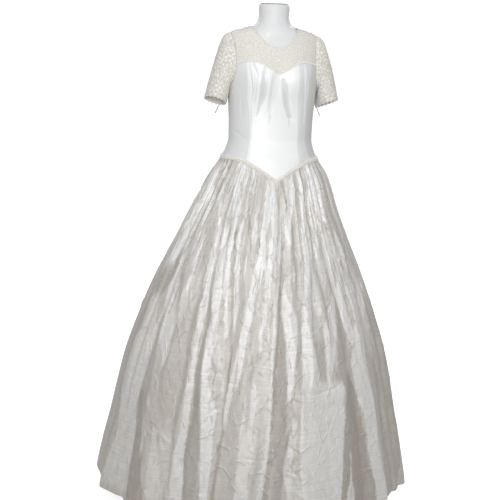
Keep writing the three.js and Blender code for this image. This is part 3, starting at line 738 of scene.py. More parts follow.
@dataclass(frozen=True)
class ClothFinish:
    """A woven silk-like cloth with a sheen, whose colour carries the painted highlight and painted shade
    stored on its sheet as well as its weave's tone.
    """

    name: str
    dark_weave_and_shade: Colour
    middle: Colour
    bright_weave_and_highlight: Colour
    tone_share: float
    roughness: float
    metallic: float
    slubs: float
    crumples: float
    crumple_share: float
    streak_share: float
    bump_depth: float
    crinkle_share: float = 0.0
    gloss_spread: float = 0.06
    sheen: float = 0.15
    sheen_roughness: float = 0.4

    def make(self, effects: Effects) -> Material:
        """Makes the cloth's material.

        Args:
            effects: The shared effects.

        Returns:
            The material.
        """
        values = {"Slubs": self.slubs, "Crumples": self.crumples, "Crumple Share": self.crumple_share,
                  "Streak Share": self.streak_share, "Crinkle Share": self.crinkle_share}
        material, book, effect, shader = start_finish(self.name, Coordinates.FLAT, effects.cloth_hand, values)
        painted_light = book.add("ShaderNodeAttribute", attribute_name="painted_light").outputs["Fac"]
        woven = book.math("MULTIPLY_ADD", effect["Tone"], self.tone_share, 0.5 - self.tone_share / 2)
        # Colour ramp: the dark end serves the weave's dark tone and painted shade, the bright end its light
        # tone and painted highlight.
        weave_and_painted_light = book.add("ShaderNodeValToRGB", {"Fac": book.math("MULTIPLY_ADD", painted_light, 0.5, woven)})
        stops = weave_and_painted_light.color_ramp.elements
        stops[0].color, stops[1].color = (*self.dark_weave_and_shade, 1.0), (*self.bright_weave_and_highlight, 1.0)
        stops.new(0.5).color = (*self.middle, 1.0)
        book.link(weave_and_painted_light.outputs["Color"], shader["Base Color"])
        dullest = self.roughness + self.gloss_spread / 2
        rough = book.math("MULTIPLY_ADD", effect["Gloss"], -self.gloss_spread, dullest)
        book.link(rough, shader["Roughness"])
        book.link(book.raised(effect["Height"], self.bump_depth, 1.0), shader["Normal"])
        shader["Metallic"].default_value = self.metallic
        shader["Sheen Weight"].default_value = self.sheen
        shader["Sheen Roughness"].default_value = self.sheen_roughness
        return material


@dataclass(frozen=True)
class LaceFinish:
    """Lace of a cream thread that shows what is behind its net."""

    name: str
    shade: Colour
    light: Colour
    net: float
    flowers: float
    stems: float
    ground_cover: float
    bump_depth: float
    bump_strength: float = 0.8
    roughness: float = 0.75
    sheen: float = 0.2

    def make(self, effects: Effects) -> Material:
        """Makes the lace's material.

        Args:
            effects: The shared effects.

        Returns:
            The material.
        """
        values = {"Net": self.net, "Flowers": self.flowers, "Stems": self.stems}
        material, book, effect, shader = start_finish(
            self.name, Coordinates.FLAT, effects.lace_ground, values)
        book.link(book.blend(effect["Tone"], self.shade, self.light), shader["Base Color"])
        cover = book.math("MULTIPLY_ADD", effect["Cover"], 1.0 - self.ground_cover, self.ground_cover)
        book.link(cover, shader["Alpha"])
        book.link(book.raised(effect["Height"], self.bump_depth, self.bump_strength), shader["Normal"])
        shader["Roughness"].default_value = self.roughness
        shader["Sheen Weight"].default_value = self.sheen
        return material


@dataclass(frozen=True)
class WornFinish:
    """Twisted thread, pearl, moulded plastic or steel with faint wear, read from its place in the dress."""

    name: str
    shade: Colour
    light: Colour
    roughness: float
    coat: float
    scale: float
    roughness_spread: float = 0.0
    metallic: float = 0.0
    bump_depth: float = 0.0002
    bump_strength: float = 0.6

    def make(self, effects: Effects) -> Material:
        """Makes the surface's material.

        Args:
            effects: The shared effects.

        Returns:
            The material.
        """
        material, book, effect, shader = start_finish(
            self.name, Coordinates.SOLID, effects.fine_wear, {"Scale": self.scale})
        book.link(book.blend(effect["Tone"], self.shade, self.light), shader["Base Color"])
        book.link(book.raised(effect["Height"], self.bump_depth, self.bump_strength), shader["Normal"])
        shader["Roughness"].default_value = self.roughness
        if self.roughness_spread:
            dulled = book.math("MULTIPLY_ADD", effect["Tone"], self.roughness_spread, self.roughness)
            book.link(dulled, shader["Roughness"])
        shader["Metallic"].default_value = self.metallic
        shader["Coat Weight"].default_value = self.coat
        return material


class Wardrobe:
    """Every finish of the dress and its form, made once."""

    def __init__(self) -> None:
        """Makes the materials."""
        effects = Effects()
        hard = {"bump_depth": 0.00003, "bump_strength": 0.5}
        # Taffeta and satin each get a painted-shade colour, a plain middle colour and a painted-highlight
        # colour.
        self.taffeta = ClothFinish(
            "taffeta", (0.36, 0.325, 0.285), (0.55, 0.525, 0.49), (0.79, 0.79, 0.785), tone_share=0.85,
            roughness=0.53, metallic=0.17, slubs=300.0, crumples=30.0, crumple_share=0.32,
            streak_share=0.14, bump_depth=0.0040, crinkle_share=0.32).make(effects)
        self.satin = ClothFinish(
            "satin", (0.60, 0.60, 0.595), (0.765, 0.775, 0.78), (0.90, 0.91, 0.915), tone_share=0.12,
            roughness=0.50, metallic=0.12, slubs=1500.0, crumples=16.0, crumple_share=0.10,
            streak_share=0.05, bump_depth=0.0012).make(effects)
        # The ribbon's colours are darkened as painted shade, for a ribbon that hangs in shade.
        self.ribbon = ClothFinish(
            "ribbon", (0.28, 0.27, 0.24), (0.33, 0.32, 0.29), (0.38, 0.37, 0.33), tone_share=1.0,
            roughness=0.45, metallic=0.20, slubs=900.0, crumples=30.0, crumple_share=0.10,
            streak_share=0.05, bump_depth=0.0006).make(effects)
        self.lace = LaceFinish(
            "lace", (0.665, 0.64, 0.585), (0.78, 0.765, 0.71), net=520.0, flowers=90.0, stems=70.0,
            ground_cover=0.80, bump_depth=0.0001).make(effects)
        self.yoke_lace = LaceFinish(
            "yoke_lace", (0.755, 0.733, 0.675), (0.79, 0.775, 0.72), net=520.0, flowers=95.0, stems=70.0,
            ground_cover=0.82, bump_depth=0.0001).make(effects)
        self.applique = WornFinish("applique", (0.80, 0.785, 0.73), (0.92, 0.91, 0.865), roughness=0.6,
                                   coat=0.0, scale=160.0).make(effects)
        self.yoke_applique = WornFinish("yoke_applique", (0.76, 0.74, 0.685), (0.825, 0.81, 0.755),
                                        roughness=0.6, coat=0.0, scale=160.0).make(effects)
        self.braid = WornFinish("braid", (0.72, 0.705, 0.65), (0.83, 0.815, 0.765), roughness=0.55,
                                coat=0.1, scale=220.0).make(effects)
        self.pale_braid = WornFinish("pale_braid", (0.80, 0.79, 0.755), (0.88, 0.875, 0.845),
                                     roughness=0.55, coat=0.1, scale=220.0).make(effects)
        self.pearl = WornFinish("pearl", (0.74, 0.69, 0.58), (0.84, 0.80, 0.71), roughness=0.18,
                                coat=0.5, scale=90.0).make(effects)
        self.form_white = WornFinish("form_white", (0.73, 0.74, 0.745), (0.77, 0.78, 0.785), roughness=0.46,
                                     coat=0.05, scale=22.0, roughness_spread=0.10, **hard).make(effects)
        self.cap_grey = WornFinish("cap_grey", (0.40, 0.385, 0.375), (0.50, 0.485, 0.475), roughness=0.5,
                                   coat=0.0, scale=40.0, roughness_spread=0.1, **hard).make(effects)
        self.steel = WornFinish("stand_steel", (0.50, 0.51, 0.52), (0.60, 0.61, 0.62), roughness=0.28,
                                coat=0.0, scale=60.0, roughness_spread=0.14, metallic=1.0,
                                **hard).make(effects)

class Spread(Enum):
    """How a motif is spread: over a cloth or along a line of points."""

    SURFACE = "surface"
    TRAIL = "trail"


class MotifTree:
    """A Geometry Nodes tree that sets copies of a small motif on a cloth or along a line."""

    INPUTS = {"Motif": "Object", "Size": "Float", "Size Spread": "Float", "Spin": "Float", "Lift": "Float",
              "Distance": "Float", "Seed": "Int", "Finish": "Material"}

    def __init__(self, spread: Spread) -> None:
        """Builds the tree.

        Args:
            spread: How the motif is spread.
        """
        self.tree = bpy.data.node_groups.new(f"motifs_on_{spread.value}", "GeometryNodeTree")
        sockets = self.tree.interface
        sockets.new_socket("Geometry", in_out="INPUT", socket_type="NodeSocketGeometry")
        for name, kind in self.INPUTS.items():
            sockets.new_socket(name, in_out="INPUT", socket_type=f"NodeSocket{kind}")
        sockets.new_socket("Geometry", in_out="OUTPUT", socket_type="NodeSocketGeometry")
        self.keys = {item.name: item.identifier for item in sockets.items_tree if item.in_out == "INPUT"}
        book = NodeBook(self.tree)
        given = book.add("NodeGroupInput").outputs
        if spread is Spread.SURFACE:
            points, facing, rotation = self._on_surface(book, given)
        else:
            points, facing, rotation = self._on_trail(book, given)
        self._set_motifs(book, given, points, facing, rotation)

    @staticmethod
    def _on_surface(book: NodeBook, given: Any) -> tuple[Any, Any, Any]:
        """Returns points spread evenly over the cloth, their normals and rotations."""
        node = book.add("GeometryNodeDistributePointsOnFaces",
                        {"Mesh": given["Geometry"], "Distance Min": given["Distance"], "Density Max": 90000.0,
                         "Seed": given["Seed"]}, distribute_method="POISSON")
        return node.outputs["Points"], node.outputs["Normal"], node.outputs["Rotation"]

    @staticmethod
    def _on_trail(book: NodeBook, given: Any) -> tuple[Any, Any, Any]:
        """Returns the line's own points, with their stored facing and direction."""
        facing = book.add("GeometryNodeInputNamedAttribute", {"Name": "facing"}, data_type="FLOAT_VECTOR")
        along = book.add("GeometryNodeInputNamedAttribute", {"Name": "along"}, data_type="FLOAT_VECTOR")
        axes = book.add("FunctionNodeAxesToRotation",
                        {0: facing.outputs["Attribute"], 1: along.outputs["Attribute"]},
                        primary_axis="Z", secondary_axis="X")
        return given["Geometry"], facing.outputs["Attribute"], axes.outputs[0]

    @staticmethod
    def _set_motifs(book: NodeBook, given: Any, points: Any, facing: Any, rotation: Any) -> None:
        """Places the motif on the points, and ends the tree with real, dressed faces.

        Args:
            book: The tree's nodes.
            given: The tree's inputs.
            points: Places of the motif.
            facing: The way that each place faces.
            rotation: Rotation of the motif at each place.
        """
        seed, size, spread = given["Seed"], given["Size"], given["Size Spread"]
        lift = book.resized(facing, given["Lift"])
        moved = book.add("GeometryNodeSetPosition", {"Geometry": points, "Offset": lift})
        back = book.math("MULTIPLY", given["Spin"], -1.0)
        spin = book.add("FunctionNodeRandomValue", {2: back, 3: given["Spin"], "Seed": seed},
                        data_type="FLOAT")
        by = book.add("FunctionNodeAxisAngleToRotation", {"Axis": (0.0, 0.0, 1.0), "Angle": spin.outputs[1]})
        turned = book.add("FunctionNodeRotateRotation", {0: rotation, 1: by.outputs[0]},
                          rotation_space="LOCAL")
        least = book.math("MULTIPLY", size, book.math("SUBTRACT", 1.0, spread))
        most = book.math("MULTIPLY", size, book.math("ADD", 1.0, spread))
        grown = book.add("FunctionNodeRandomValue",
                         {2: least, 3: most, "Seed": book.math("ADD", seed, 7.0)}, data_type="FLOAT")
        motif = book.add("GeometryNodeObjectInfo", {"Object": given["Motif"]})
        placed = book.add("GeometryNodeInstanceOnPoints",
                          {"Points": moved.outputs[0], "Instance": motif.outputs["Geometry"],
                           "Rotation": turned.outputs[0], "Scale": grown.outputs[1]})
        real = book.add("GeometryNodeRealizeInstances", {0: placed.outputs[0]})
        smooth = book.add("GeometryNodeSetShadeSmooth", {"Geometry": real.outputs[0]})
        dressed = book.add("GeometryNodeSetMaterial",
                           {"Geometry": smooth.outputs[0], "Material": given["Finish"]})
        book.add("NodeGroupOutput", {"Geometry": dressed.outputs[0]})

    def grow(self, name: str, carrier: Mesh, motif: Object,
             finish: Material, **sizes: float) -> Object:
        """Runs the tree and keeps its result as a plain mesh.

        Args:
            name: The new piece's name.
            carrier: The cloth's mesh or the line's points.
            motif: The motif, of size 1.
            finish: Its material.
            sizes: Values for the tree's inputs, with spaces as underscores.

        Returns:
            The new piece.
        """
        holder = add_object(f"{name}_holder", carrier)
        modifier = holder.modifiers.new("motifs", "NODES")
        modifier.node_group = self.tree
        modifier[self.keys["Motif"]] = motif
        modifier[self.keys["Finish"]] = finish
        for key, value in sizes.items():
            modifier[self.keys[key.replace("_", " ").title()]] = value
        graph = bpy.context.evaluated_depsgraph_get()
        mesh = bpy.data.meshes.new_from_object(holder.evaluated_get(graph))
        mesh.name = name
        bpy.data.objects.remove(holder)
        return add_object(name, mesh)


@dataclass(frozen=True)
class LaceTrim:
    """Sizes of the raised flowers and sprigs on a lace, and the least distance between two, in metres."""

    flower_size: float
    flower_distance: float
    sprig_size: float
    sprig_distance: float
    size_spread: float = 0.6
    lift: float = 0.0002


class Motifs:
    """Small shapes of size 1 that are repeated over the dress."""

    SPRIG_SEED = 20

    def __init__(self) -> None:
        """Makes the motifs and the trees that spread them."""
        self.on_cloth = MotifTree(Spread.SURFACE)
        self.on_line = MotifTree(Spread.TRAIL)
        self.flower = self._flower()
        self.sprig = self._sprig()
        self.pearl = self._grain("motif_pearl", 1.0, 1.0, 0.0)
        self.twist = self._grain("motif_twist", 0.48, 0.5, 38.0)
        self.loop = self._loop()
        self.button = self._button()

    @staticmethod
    def _keep(name: str, points: list[tuple[float, ...]], faces: list[tuple[int, ...]]) -> Object:
        """Returns a motif object with the given points and faces."""
        mesh = bpy.data.meshes.new(name)
        mesh.from_pydata(points, [], faces)
        mesh.update()
        return add_object(name, mesh)

    def _flower(self, petals: int = 5) -> Object:
        """Returns a flat flower with cupped petals."""
        outline = ((-0.5, 0.34, 0.0), (-0.27, 0.86, 0.04), (0.0, 1.0, 0.03), (0.27, 0.86, 0.04))
        points: list[tuple[float, ...]] = [(0.0, 0.0, 0.03)]
        for i in range(petals):
            for turn, radius, up in outline:
                angle = 2 * math.pi * (i + turn) / petals
                points.append((radius * math.cos(angle), radius * math.sin(angle), up))
        rim = len(points) - 1
        faces = [(0, 1 + i, 1 + (i + 1) % rim) for i in range(rim)]
        return self._keep("motif_flower", points, faces)

    def _sprig(self) -> Object:
        """Returns three small leaves on one foot."""
        leaf = ((0, 0, 0.01), (0.5, -0.2, 0.01), (1, 0, 0.01), (0.5, 0.2, 0.01), (0.5, 0, 0.05))
        points: list[tuple[float, ...]] = []
        faces: list[tuple[int, ...]] = []
        for degrees, reach in ((-48.0, 0.75), (0.0, 1.0), (48.0, 0.75)):
            start = len(points)
            turn = Matrix.Rotation(math.radians(degrees), 3, "Z")
            points += [tuple(turn @ Vector((x * reach, y, z))) for x, y, z in leaf]
            faces += [(start + a, start + b, start + 4) for a, b in ((0, 1), (1, 2), (2, 3), (3, 0))]
        return self._keep("motif_sprig", points, faces)

    def _turned(self, name: str, rings: list[tuple[float, float, float]], low: float, high: float,
                around: int, slant: float = 0.0) -> Object:
        """Makes a closed shape of oval rings.

        Args:
            name: The motif's name.
            rings: Half length, half width and height of each ring, from below.
            low: Height of the point below the rings.
            high: Height of the point above them.
            around: Points in a ring.
            slant: Degrees that the shape is turned on its foot.

        Returns:
            The motif.
        """
        angles = [2 * math.pi * i / around for i in range(around)]
        points = [(0.0, 0.0, low)]
        for length, width, up in rings:
            points += [(length * math.cos(angle), width * math.sin(angle), up) for angle in angles]
        points.append((0.0, 0.0, high))
        turn = Matrix.Rotation(math.radians(slant), 3, "Z")
        last = len(points) - 1
        faces: list[tuple[int, ...]] = []
        for i in range(around):
            j = (i + 1) % around
            faces.append((0, 1 + j, 1 + i))
            for level in range(len(rings) - 1):
                a = 1 + level * around
                faces.append((a + i, a + j, a + around + j, a + around + i))
            faces.append((last - around + i, last - around + j, last))
        return self._keep(name, [tuple(turn @ Vector(point)) for point in points], faces)

    def _grain(self, name: str, width: float, height: float, slant: float, levels: int = 5) -> Object:
        """Returns a ball, or a slanted grain of twisted thread."""
        tilts = [math.pi * level / levels for level in range(1, levels)]
        rings = [(math.sin(tilt), width * math.sin(tilt), -height * math.cos(tilt)) for tilt in tilts]
        return self._turned(name, rings, -height, height, 8, slant)

    def _button(self) -> Object:
        """Returns a covered button's dome, flat underneath."""
        profile = ((0.7, 0.0), (0.93, 0.1), (1.0, 0.26), (0.93, 0.42), (0.7, 0.56), (0.38, 0.64))
        return self._turned("motif_button", [(r, r, up) for r, up in profile], 0.0, 0.655, 20)

    def _loop(self, around: int = 12, sides: int = 4, thick: float = 0.26) -> Object:
        """Returns a ring of thread that lies flat."""
        points: list[tuple[float, ...]] = []
        faces: list[tuple[int, ...]] = []
        for i in range(around):
            angle = 2 * math.pi * i / around
            a, b = i * sides, (i + 1) % around * sides
            for k in range(sides):
                side = 2 * math.pi * k / sides
                radius = 1 - thick + thick * math.cos(side)
                points.append((radius * math.cos(angle), radius * math.sin(angle), thick * math.sin(side)))
                m = (k + 1) % sides
                faces.append((a + k, b + k, b + m, a + m))
        return self._keep("motif_loop", points, faces)

    def embroider(self, cloth: Object, name: str, trim: LaceTrim, finish: Material,
                  seed: int) -> list[Object]:
        """Spreads raised flowers and sprigs over a lace.

        Args:
            cloth: The lace.
            name: Start of the new pieces' names.
            trim: Their sizes.
            finish: Their material.
            seed: Seed of their places.

        Returns:
            The flowers and the sprigs, a piece each.
        """
        made: list[Object] = []
        for kind, motif, size, distance, start in (
                ("flowers", self.flower, trim.flower_size, trim.flower_distance, seed),
                ("sprigs", self.sprig, trim.sprig_size, trim.sprig_distance, seed + self.SPRIG_SEED)):
            piece = self.on_cloth.grow(
                f"{name}_{kind}", cloth.data.copy(), motif, finish, size=size, size_spread=trim.size_spread,
                spin=math.pi, lift=trim.lift, distance=distance, seed=start)
            made.append(finish_piece(piece, finish))
        return made

    def clear(self) -> None:
        """Removes the motifs, which are only patterns."""
        for motif in (self.flower, self.sprig, self.pearl, self.twist, self.loop, self.button):
            bpy.data.objects.remove(motif)


def trail(name: str, points: Array, facing: Array) -> Mesh:
    """Keeps a line of points with the way that each faces and runs.

    Args:
        name: The line's name.
        points: Points in millimetres.
        facing: Outward directions.

    Returns:
        A mesh of loose points for a motif tree.
    """
    mesh = bpy.data.meshes.new(name)
    mesh.from_pydata((points * MM).tolist(), [], [])
    along = unit(np.gradient(points, axis=0)) if len(points) > 1 else np.tile((1.0, 0.0, 0.0), (1, 1))
    for key, values in (("facing", facing), ("along", along)):
        mesh.attributes.new(key, "FLOAT_VECTOR", "POINT").data.foreach_set(
            "vector", np.ascontiguousarray(values, dtype=np.float32).ravel())
    return mesh


def even_steps(points: Array, step: float) -> Array:
    """Gives places along a line at even steps.

    Args:
        points: Points of the line in millimetres.
        step: Wanted step in millimetres.

    Returns:
        Fractional row numbers of the points.
    """
    length = np.concatenate(([0.0], np.cumsum(np.linalg.norm(np.diff(points, axis=0), axis=-1))))
    count = max(2, round(length[-1] / step))
    wanted = (np.arange(count) + 0.5) * length[-1] / count
    return np.interp(wanted, length, np.arange(len(points)))


@dataclass
class GownPart:
    """A part of the gown or its form, with the lines, finishes and motifs that it is made from."""

    lines: PatternLines
    wardrobe: Wardrobe
    motifs: Motifs


@dataclass
class DressForm(GownPart):
    """The limbless form that carries the dress, with its neck cap, pole and foot."""

    bottom: float = 900.0
    shoulder: tuple[float, float] = (1530.0, 1557.0)
    neck_base: float = 1584.0
    neck_top: float = 1645.0
    clearance: float = 2.5
    neck_clearance: float = 5.0
    ridge_clearance: float = 0.9
    rim_turned_in: tuple[tuple[float, float], ...] = ((0.02, 0.2), (0.05, 0.8), (0.1, 2.0))
    columns: int = 112
    rows: int = 120

    def build(self) -> None:
        """Makes the smooth skin of the form and dresses the stand."""
        height, turn = np.meshgrid(np.linspace(self.bottom, self.neck_top, self.rows),
                                   np.arange(self.columns) * FULL_TURN / self.columns - 180.0, indexing="ij")
        on_shoulder = smoothstep(height, *self.shoulder)
        on_neck = smoothstep(height, self.neck_base, self.neck_top)
        beside = (self.clearance + (self.neck_clearance - self.clearance) * on_shoulder) * (1 - on_neck)
        on_ridge = on_shoulder * smoothstep(np.abs(np.sin(np.radians(turn))), 0.97, 1.0)
        gap = beside + (self.ridge_clearance - beside) * on_ridge * (1 - on_neck)
        points = self.lines.figure.lifted(height, turn, -gap, cups=0.0)
        points[0, :, 2], points[-1, :, 2] = self.bottom, self.neck_top
        rim = points[-1]
        centre = rim.mean(axis=0)
        rings = [rim + (centre - rim) * inward - (0.0, 0.0, sink) for inward, sink in self.rim_turned_in]
        points = np.concatenate((points, np.stack(rings)), axis=0)
        skin = shell("form_skin", points, laid_flat(points, ring=True), ring=True)
        finish_piece(skin, self.wardrobe.form_white, ("form_torso",))
        for node, finish in (("form_neck_cap", self.wardrobe.cap_grey), ("stand_pole", self.wardrobe.steel),
                             ("stand_foot", self.wardrobe.steel)):
            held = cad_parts[node]
            held.data.materials.clear()
            held.data.materials.append(finish)


@dataclass
class Bodice(GownPart):
    """Five satin panels shaped by princess seams, with the soft creases of a worn-in gown, a painted
    highlight over the centre panel and painted shade beside it.
    """

    rows: int = 190
    waist_gap: float = 0.2
    top_gap: float = 0.15
    flatten: float = 4.0
    flatten_reach: float = 84.0
    under_bust: tuple[float, float] = (1330.0, 1420.0)
    seam_depth: float = 0.55
    seam_half_width: float = 1.3
    panels: tuple[tuple[str, float, float, int], ...] = (
        ("bodice_front", -31.0, 31.0, 130),
        ("bodice_side_front_left", 31.0, 90.0, 90),
        ("bodice_side_front_right", -90.0, -31.0, 90),
        ("bodice_back_left", 90.0, 180.0, 110),
        ("bodice_back_right", -180.0, -90.0, 110),
    )
    creases: tuple[Crease, ...] = (
        Crease(-17, 1458, -26, 1296, 14.0, -3.8, -8.0),
        Crease(-31, 1462, -25, 1428, 5.0, -2.0),
        Crease(-36, 1450, -31, 1330, 5.0, -1.6),
        Crease(-27, 1390, -30, 1308, 5.0, -1.5),
        Crease(-5.5, 1430, -9, 1312, 10.0, -2.0),
        Crease(4, 1422, 16, 1298, 13.0, -3.8),
        Crease(13, 1304, 24, 1296, 6.0, -1.6),
        Crease(33, 1430, 40, 1318, 6.0, 2.0),
        Crease(45, 1440, 46, 1320, 6.0, -1.3),
        Crease(-52, 1400, -48, 1290, 9.0, -1.0),
        Crease(-70, 1260, -40, 1232, 9.0, -1.2),
        Crease(45, 1236, 72, 1262, 9.0, -1.2),
        Crease(118, 1240, 150, 1226, 10.0, -1.6),
        Crease(-121, 1252, -154, 1230, 9.0, -1.5),
        Crease(110, 1205, 140, 1212, 8.0, -1.2),
        Crease(-106, 1212, -138, 1206, 9.0, -1.3),
        Crease(128, 1400, 142, 1310, 10.0, -1.3),
        Crease(-132, 1410, -140, 1322, 9.0, -1.2),
    )
    painted_edge_ragged: float = 0.6
    painted_edge_soft: float = 2.4
    # Painted strips: a painted highlight over the centre panel and narrow ones on the side panels, painted
    # shade in the creases and over the dress's left side.
    painted_strips: tuple[PaintedStrip, ...] = (
        PaintedStrip(0.95, ((1500, -41, 22), (1355, -39.5, 25), (1295, -35.5, 29), (1100, -33, 29))),
        PaintedStrip(0.1, ((1500, 22, 29), (1355, 25, 32), (1265, 29, 39), (1180, 26, 38))),
        PaintedStrip(-0.1, ((1460, -18, -16), (1420, -23, -12.5), (1370, -23, -14), (1300, -27, -25))),
        PaintedStrip(0.3, ((1430, -8, -3), (1370, -11, -3), (1310, -10.5, -7))),
        PaintedStrip(0.0, ((1460, -32, -29.5), (1430, -26.5, -24.5))),
        PaintedStrip(0.1, ((1450, -36.5, -35), (1380, -32.5, -31), (1300, -34, -32))),
        PaintedStrip(0.1, ((1390, -28, -26.5), (1310, -30.5, -29))),
        PaintedStrip(-0.1, ((1430, 1, 3), (1400, 2, 9), (1350, 4.5, 13), (1310, 11, 19), (1298, 14, 16))),
        PaintedStrip(0.4, ((1450, 3, 5.5), (1430, 1, 3))),
        PaintedStrip(1.0, ((1440, 30, 34), (1405, 32.5, 41.5), (1360, 36, 43.5), (1312, 38, 41))),
        PaintedStrip(-0.5, ((1460, 44.5, 90), (1260, 44, 90), (1100, 46, 90))),
        PaintedStrip(0.6, ((1460, -69, -58), (1365, -84, -75))),
    )
    # Painted light raised a little over the whole bodice, and painted shade over the lower front towards the
    # waist.
    painted_base_light: float = 0.12
    painted_waist_shade: float = 0.22
    painted_shade_heights: tuple[float, float] = (1180.0, 1340.0)

    def shape(self, low: float, high: float, columns: int) -> tuple[Array, Array]:
        """Gives a panel's points and its painted highlight and shade.

        Args:
            low: Turn of the panel's first edge.
            high: Turn of its other edge.
            columns: Points across.

        Returns:
            Rows of points in millimetres, and the painted light of each point from -1, painted shade, to 1,
            painted highlight.
        """
        lines = self.lines
        turn, up = np.meshgrid(np.linspace(low, high, columns), np.linspace(0.0, 1.0, self.rows))
        bottom = lines.waist(turn) - self.waist_gap
        height = bottom + (lines.satin_top(turn) - self.top_gap - bottom) * up
        around = np.gradient(lines.figure.surface(height, turn), axis=1)[..., :2]
        pitch = np.linalg.norm(around / np.gradient(turn, axis=1)[..., None], axis=-1)
        relief = Relief(turn, height, height.max() - height, pitch, self.painted_edge_ragged, self.painted_edge_soft)
        for crease in self.creases:
            relief.add_crease(crease)
        front = np.abs(turn) <= 90.0
        away = (np.abs(turn) - lines.princess_turn) * pitch
        ridge = np.clip(1 - np.abs(away) / self.flatten_reach, 0.0, 1.0) ** 3
        flat = self.flatten * ridge * (1 - smoothstep(height, *self.under_bust)) * front
        edge_calm = smoothstep(up, 0.0, 0.06) * (1 - smoothstep(up, 0.94, 1.0))
        lift = relief.field * edge_calm + flat * smoothstep(up, 0.0, 0.12)
        for seam in (lines.princess_turn, 90.0, 180.0):
            from_seam = (np.abs(turn) - seam) * pitch
            lift -= self.seam_depth * np.exp(-(from_seam / self.seam_half_width) ** 2)
        # Painted highlight and shade: the base light, the strips, then painted shade towards the waist.
        relief.painted_light += self.painted_base_light
        for i, painted_light in enumerate(self.painted_strips):
            relief.add_painted_light(painted_light, i)
        relief.painted_light -= self.painted_waist_shade * (1 - smoothstep(height, *self.painted_shade_heights)) * front
        return lines.figure.lifted(height, turn, lines.satin_lift + lift), relief.painted_light

    def build(self) -> None:
        for node, low, high, columns in self.panels:
            points, painted_light = self.shape(low, high, columns)
            piece = shell(f"{node}_satin", points, laid_flat(points))
            keep_painted_light(piece, painted_light)
            finish_piece(piece, self.wardrobe.satin, (node,))


@dataclass
class Yoke(GownPart):
    """The lace yoke from the sweetheart edge to the neck and shoulders."""

    rows: int = 60
    columns: int = 84
    trim: LaceTrim = LaceTrim(0.0030, 0.0100, 0.0036, 0.0100)
    pearl_size: float = 0.0013
    pearl_step: float = 5.2
    pearl_drop: float = 2.5

    def half(self, facing: int, share: Array) -> Array:
        """Gives one half of the yoke.

        Args:
            facing: 1 in front and -1 behind.
            share: Places from the middle, 0, to the armhole, 1.

        Returns:
            Rows of points in millimetres from the lower edge to the upper edge.
        """
        lines, figure = self.lines, self.lines.figure
        read = figure.sections.read
        up, share = np.meshgrid(1 - (1 - np.linspace(0.0, 1.0, self.rows)) ** 1.5, share, indexing="ij")
        neck_share = lines.princess_turn / lines.armhole_turn
        low_turn = lines.armhole_turn * share
        low = lines.satin_top(low_turn if facing > 0 else 180 - low_turn) - 1.0
        top_turn = 90.0 * np.minimum(1.0, share / neck_share)
        ridge = np.clip((share - neck_share) / (1 - neck_share), 0.0, 1.0)
        neck = lines.neckline.read("front" if facing > 0 else "back", top_turn)
        top = neck + (lines.shoulder_tip - neck) * ridge
        height = low + (top - low) * up
        low_across = read("half_width", low) * np.sin(np.radians(low_turn)) ** (2 / read("roundness", low))
        top_across = read("half_width", top) * np.sin(np.radians(top_turn)) ** (2 / read("roundness", top))
        straight = low_across + (top_across - low_across) * up
        edge = lines.hole_across_at(height)
        across = np.minimum(straight + (edge - straight) * share**6, edge)
        turn = np.minimum(figure.turn_across(height, across), 89.8)
        return figure.lifted(height, turn if facing > 0 else 180 - turn, lines.lace_lift)

    def build(self) -> None:
        """Makes the three pieces with their raised flowers and the pearls of the neckline."""
        share = np.linspace(0.0, 1.0, self.columns // 2)
        front = self.half(1, share)
        front = np.concatenate((front[:, :0:-1] * (-1, 1, 1), front), axis=1)
        back = self.half(-1, np.linspace(0.003, 1.0, self.columns // 2))
        pieces = {"yoke_front": front, "yoke_back_left": back[:, ::-1],
                  "yoke_back_right": back * (-1, 1, 1)}
        for seed, (node, points) in enumerate(pieces.items(), start=11):
            piece = shell(f"{node}_lace", points, laid_flat(points))
            finish_piece(piece, self.wardrobe.yoke_lace, (node,))
            raised = self.motifs.embroider(piece, node, self.trim, self.wardrobe.yoke_applique, seed)
        self.edge_pearls()

    def edge_pearls(self) -> None:
        """Sews pearls along the neckline, front and back."""
        lines = self.lines
        turn = np.linspace(-178.0, 178.0, 713)
        front = np.abs(turn) <= 90
        around = np.where(front, np.abs(turn), 180 - np.abs(turn))
        edge = np.where(front, lines.neckline.read("front", around), lines.neckline.read("back", around))
        spots, facing = lines.along(edge - self.pearl_drop, turn, lines.lace_lift, self.pearl_step)
        pearls = self.motifs.on_line.grow(
            "neckline_pearls", trail("neckline", spots, facing), self.motifs.pearl, self.wardrobe.pearl,
            size=self.pearl_size, size_spread=0.15, lift=0.0009, seed=5)
        finish_piece(pearls, self.wardrobe.pearl)


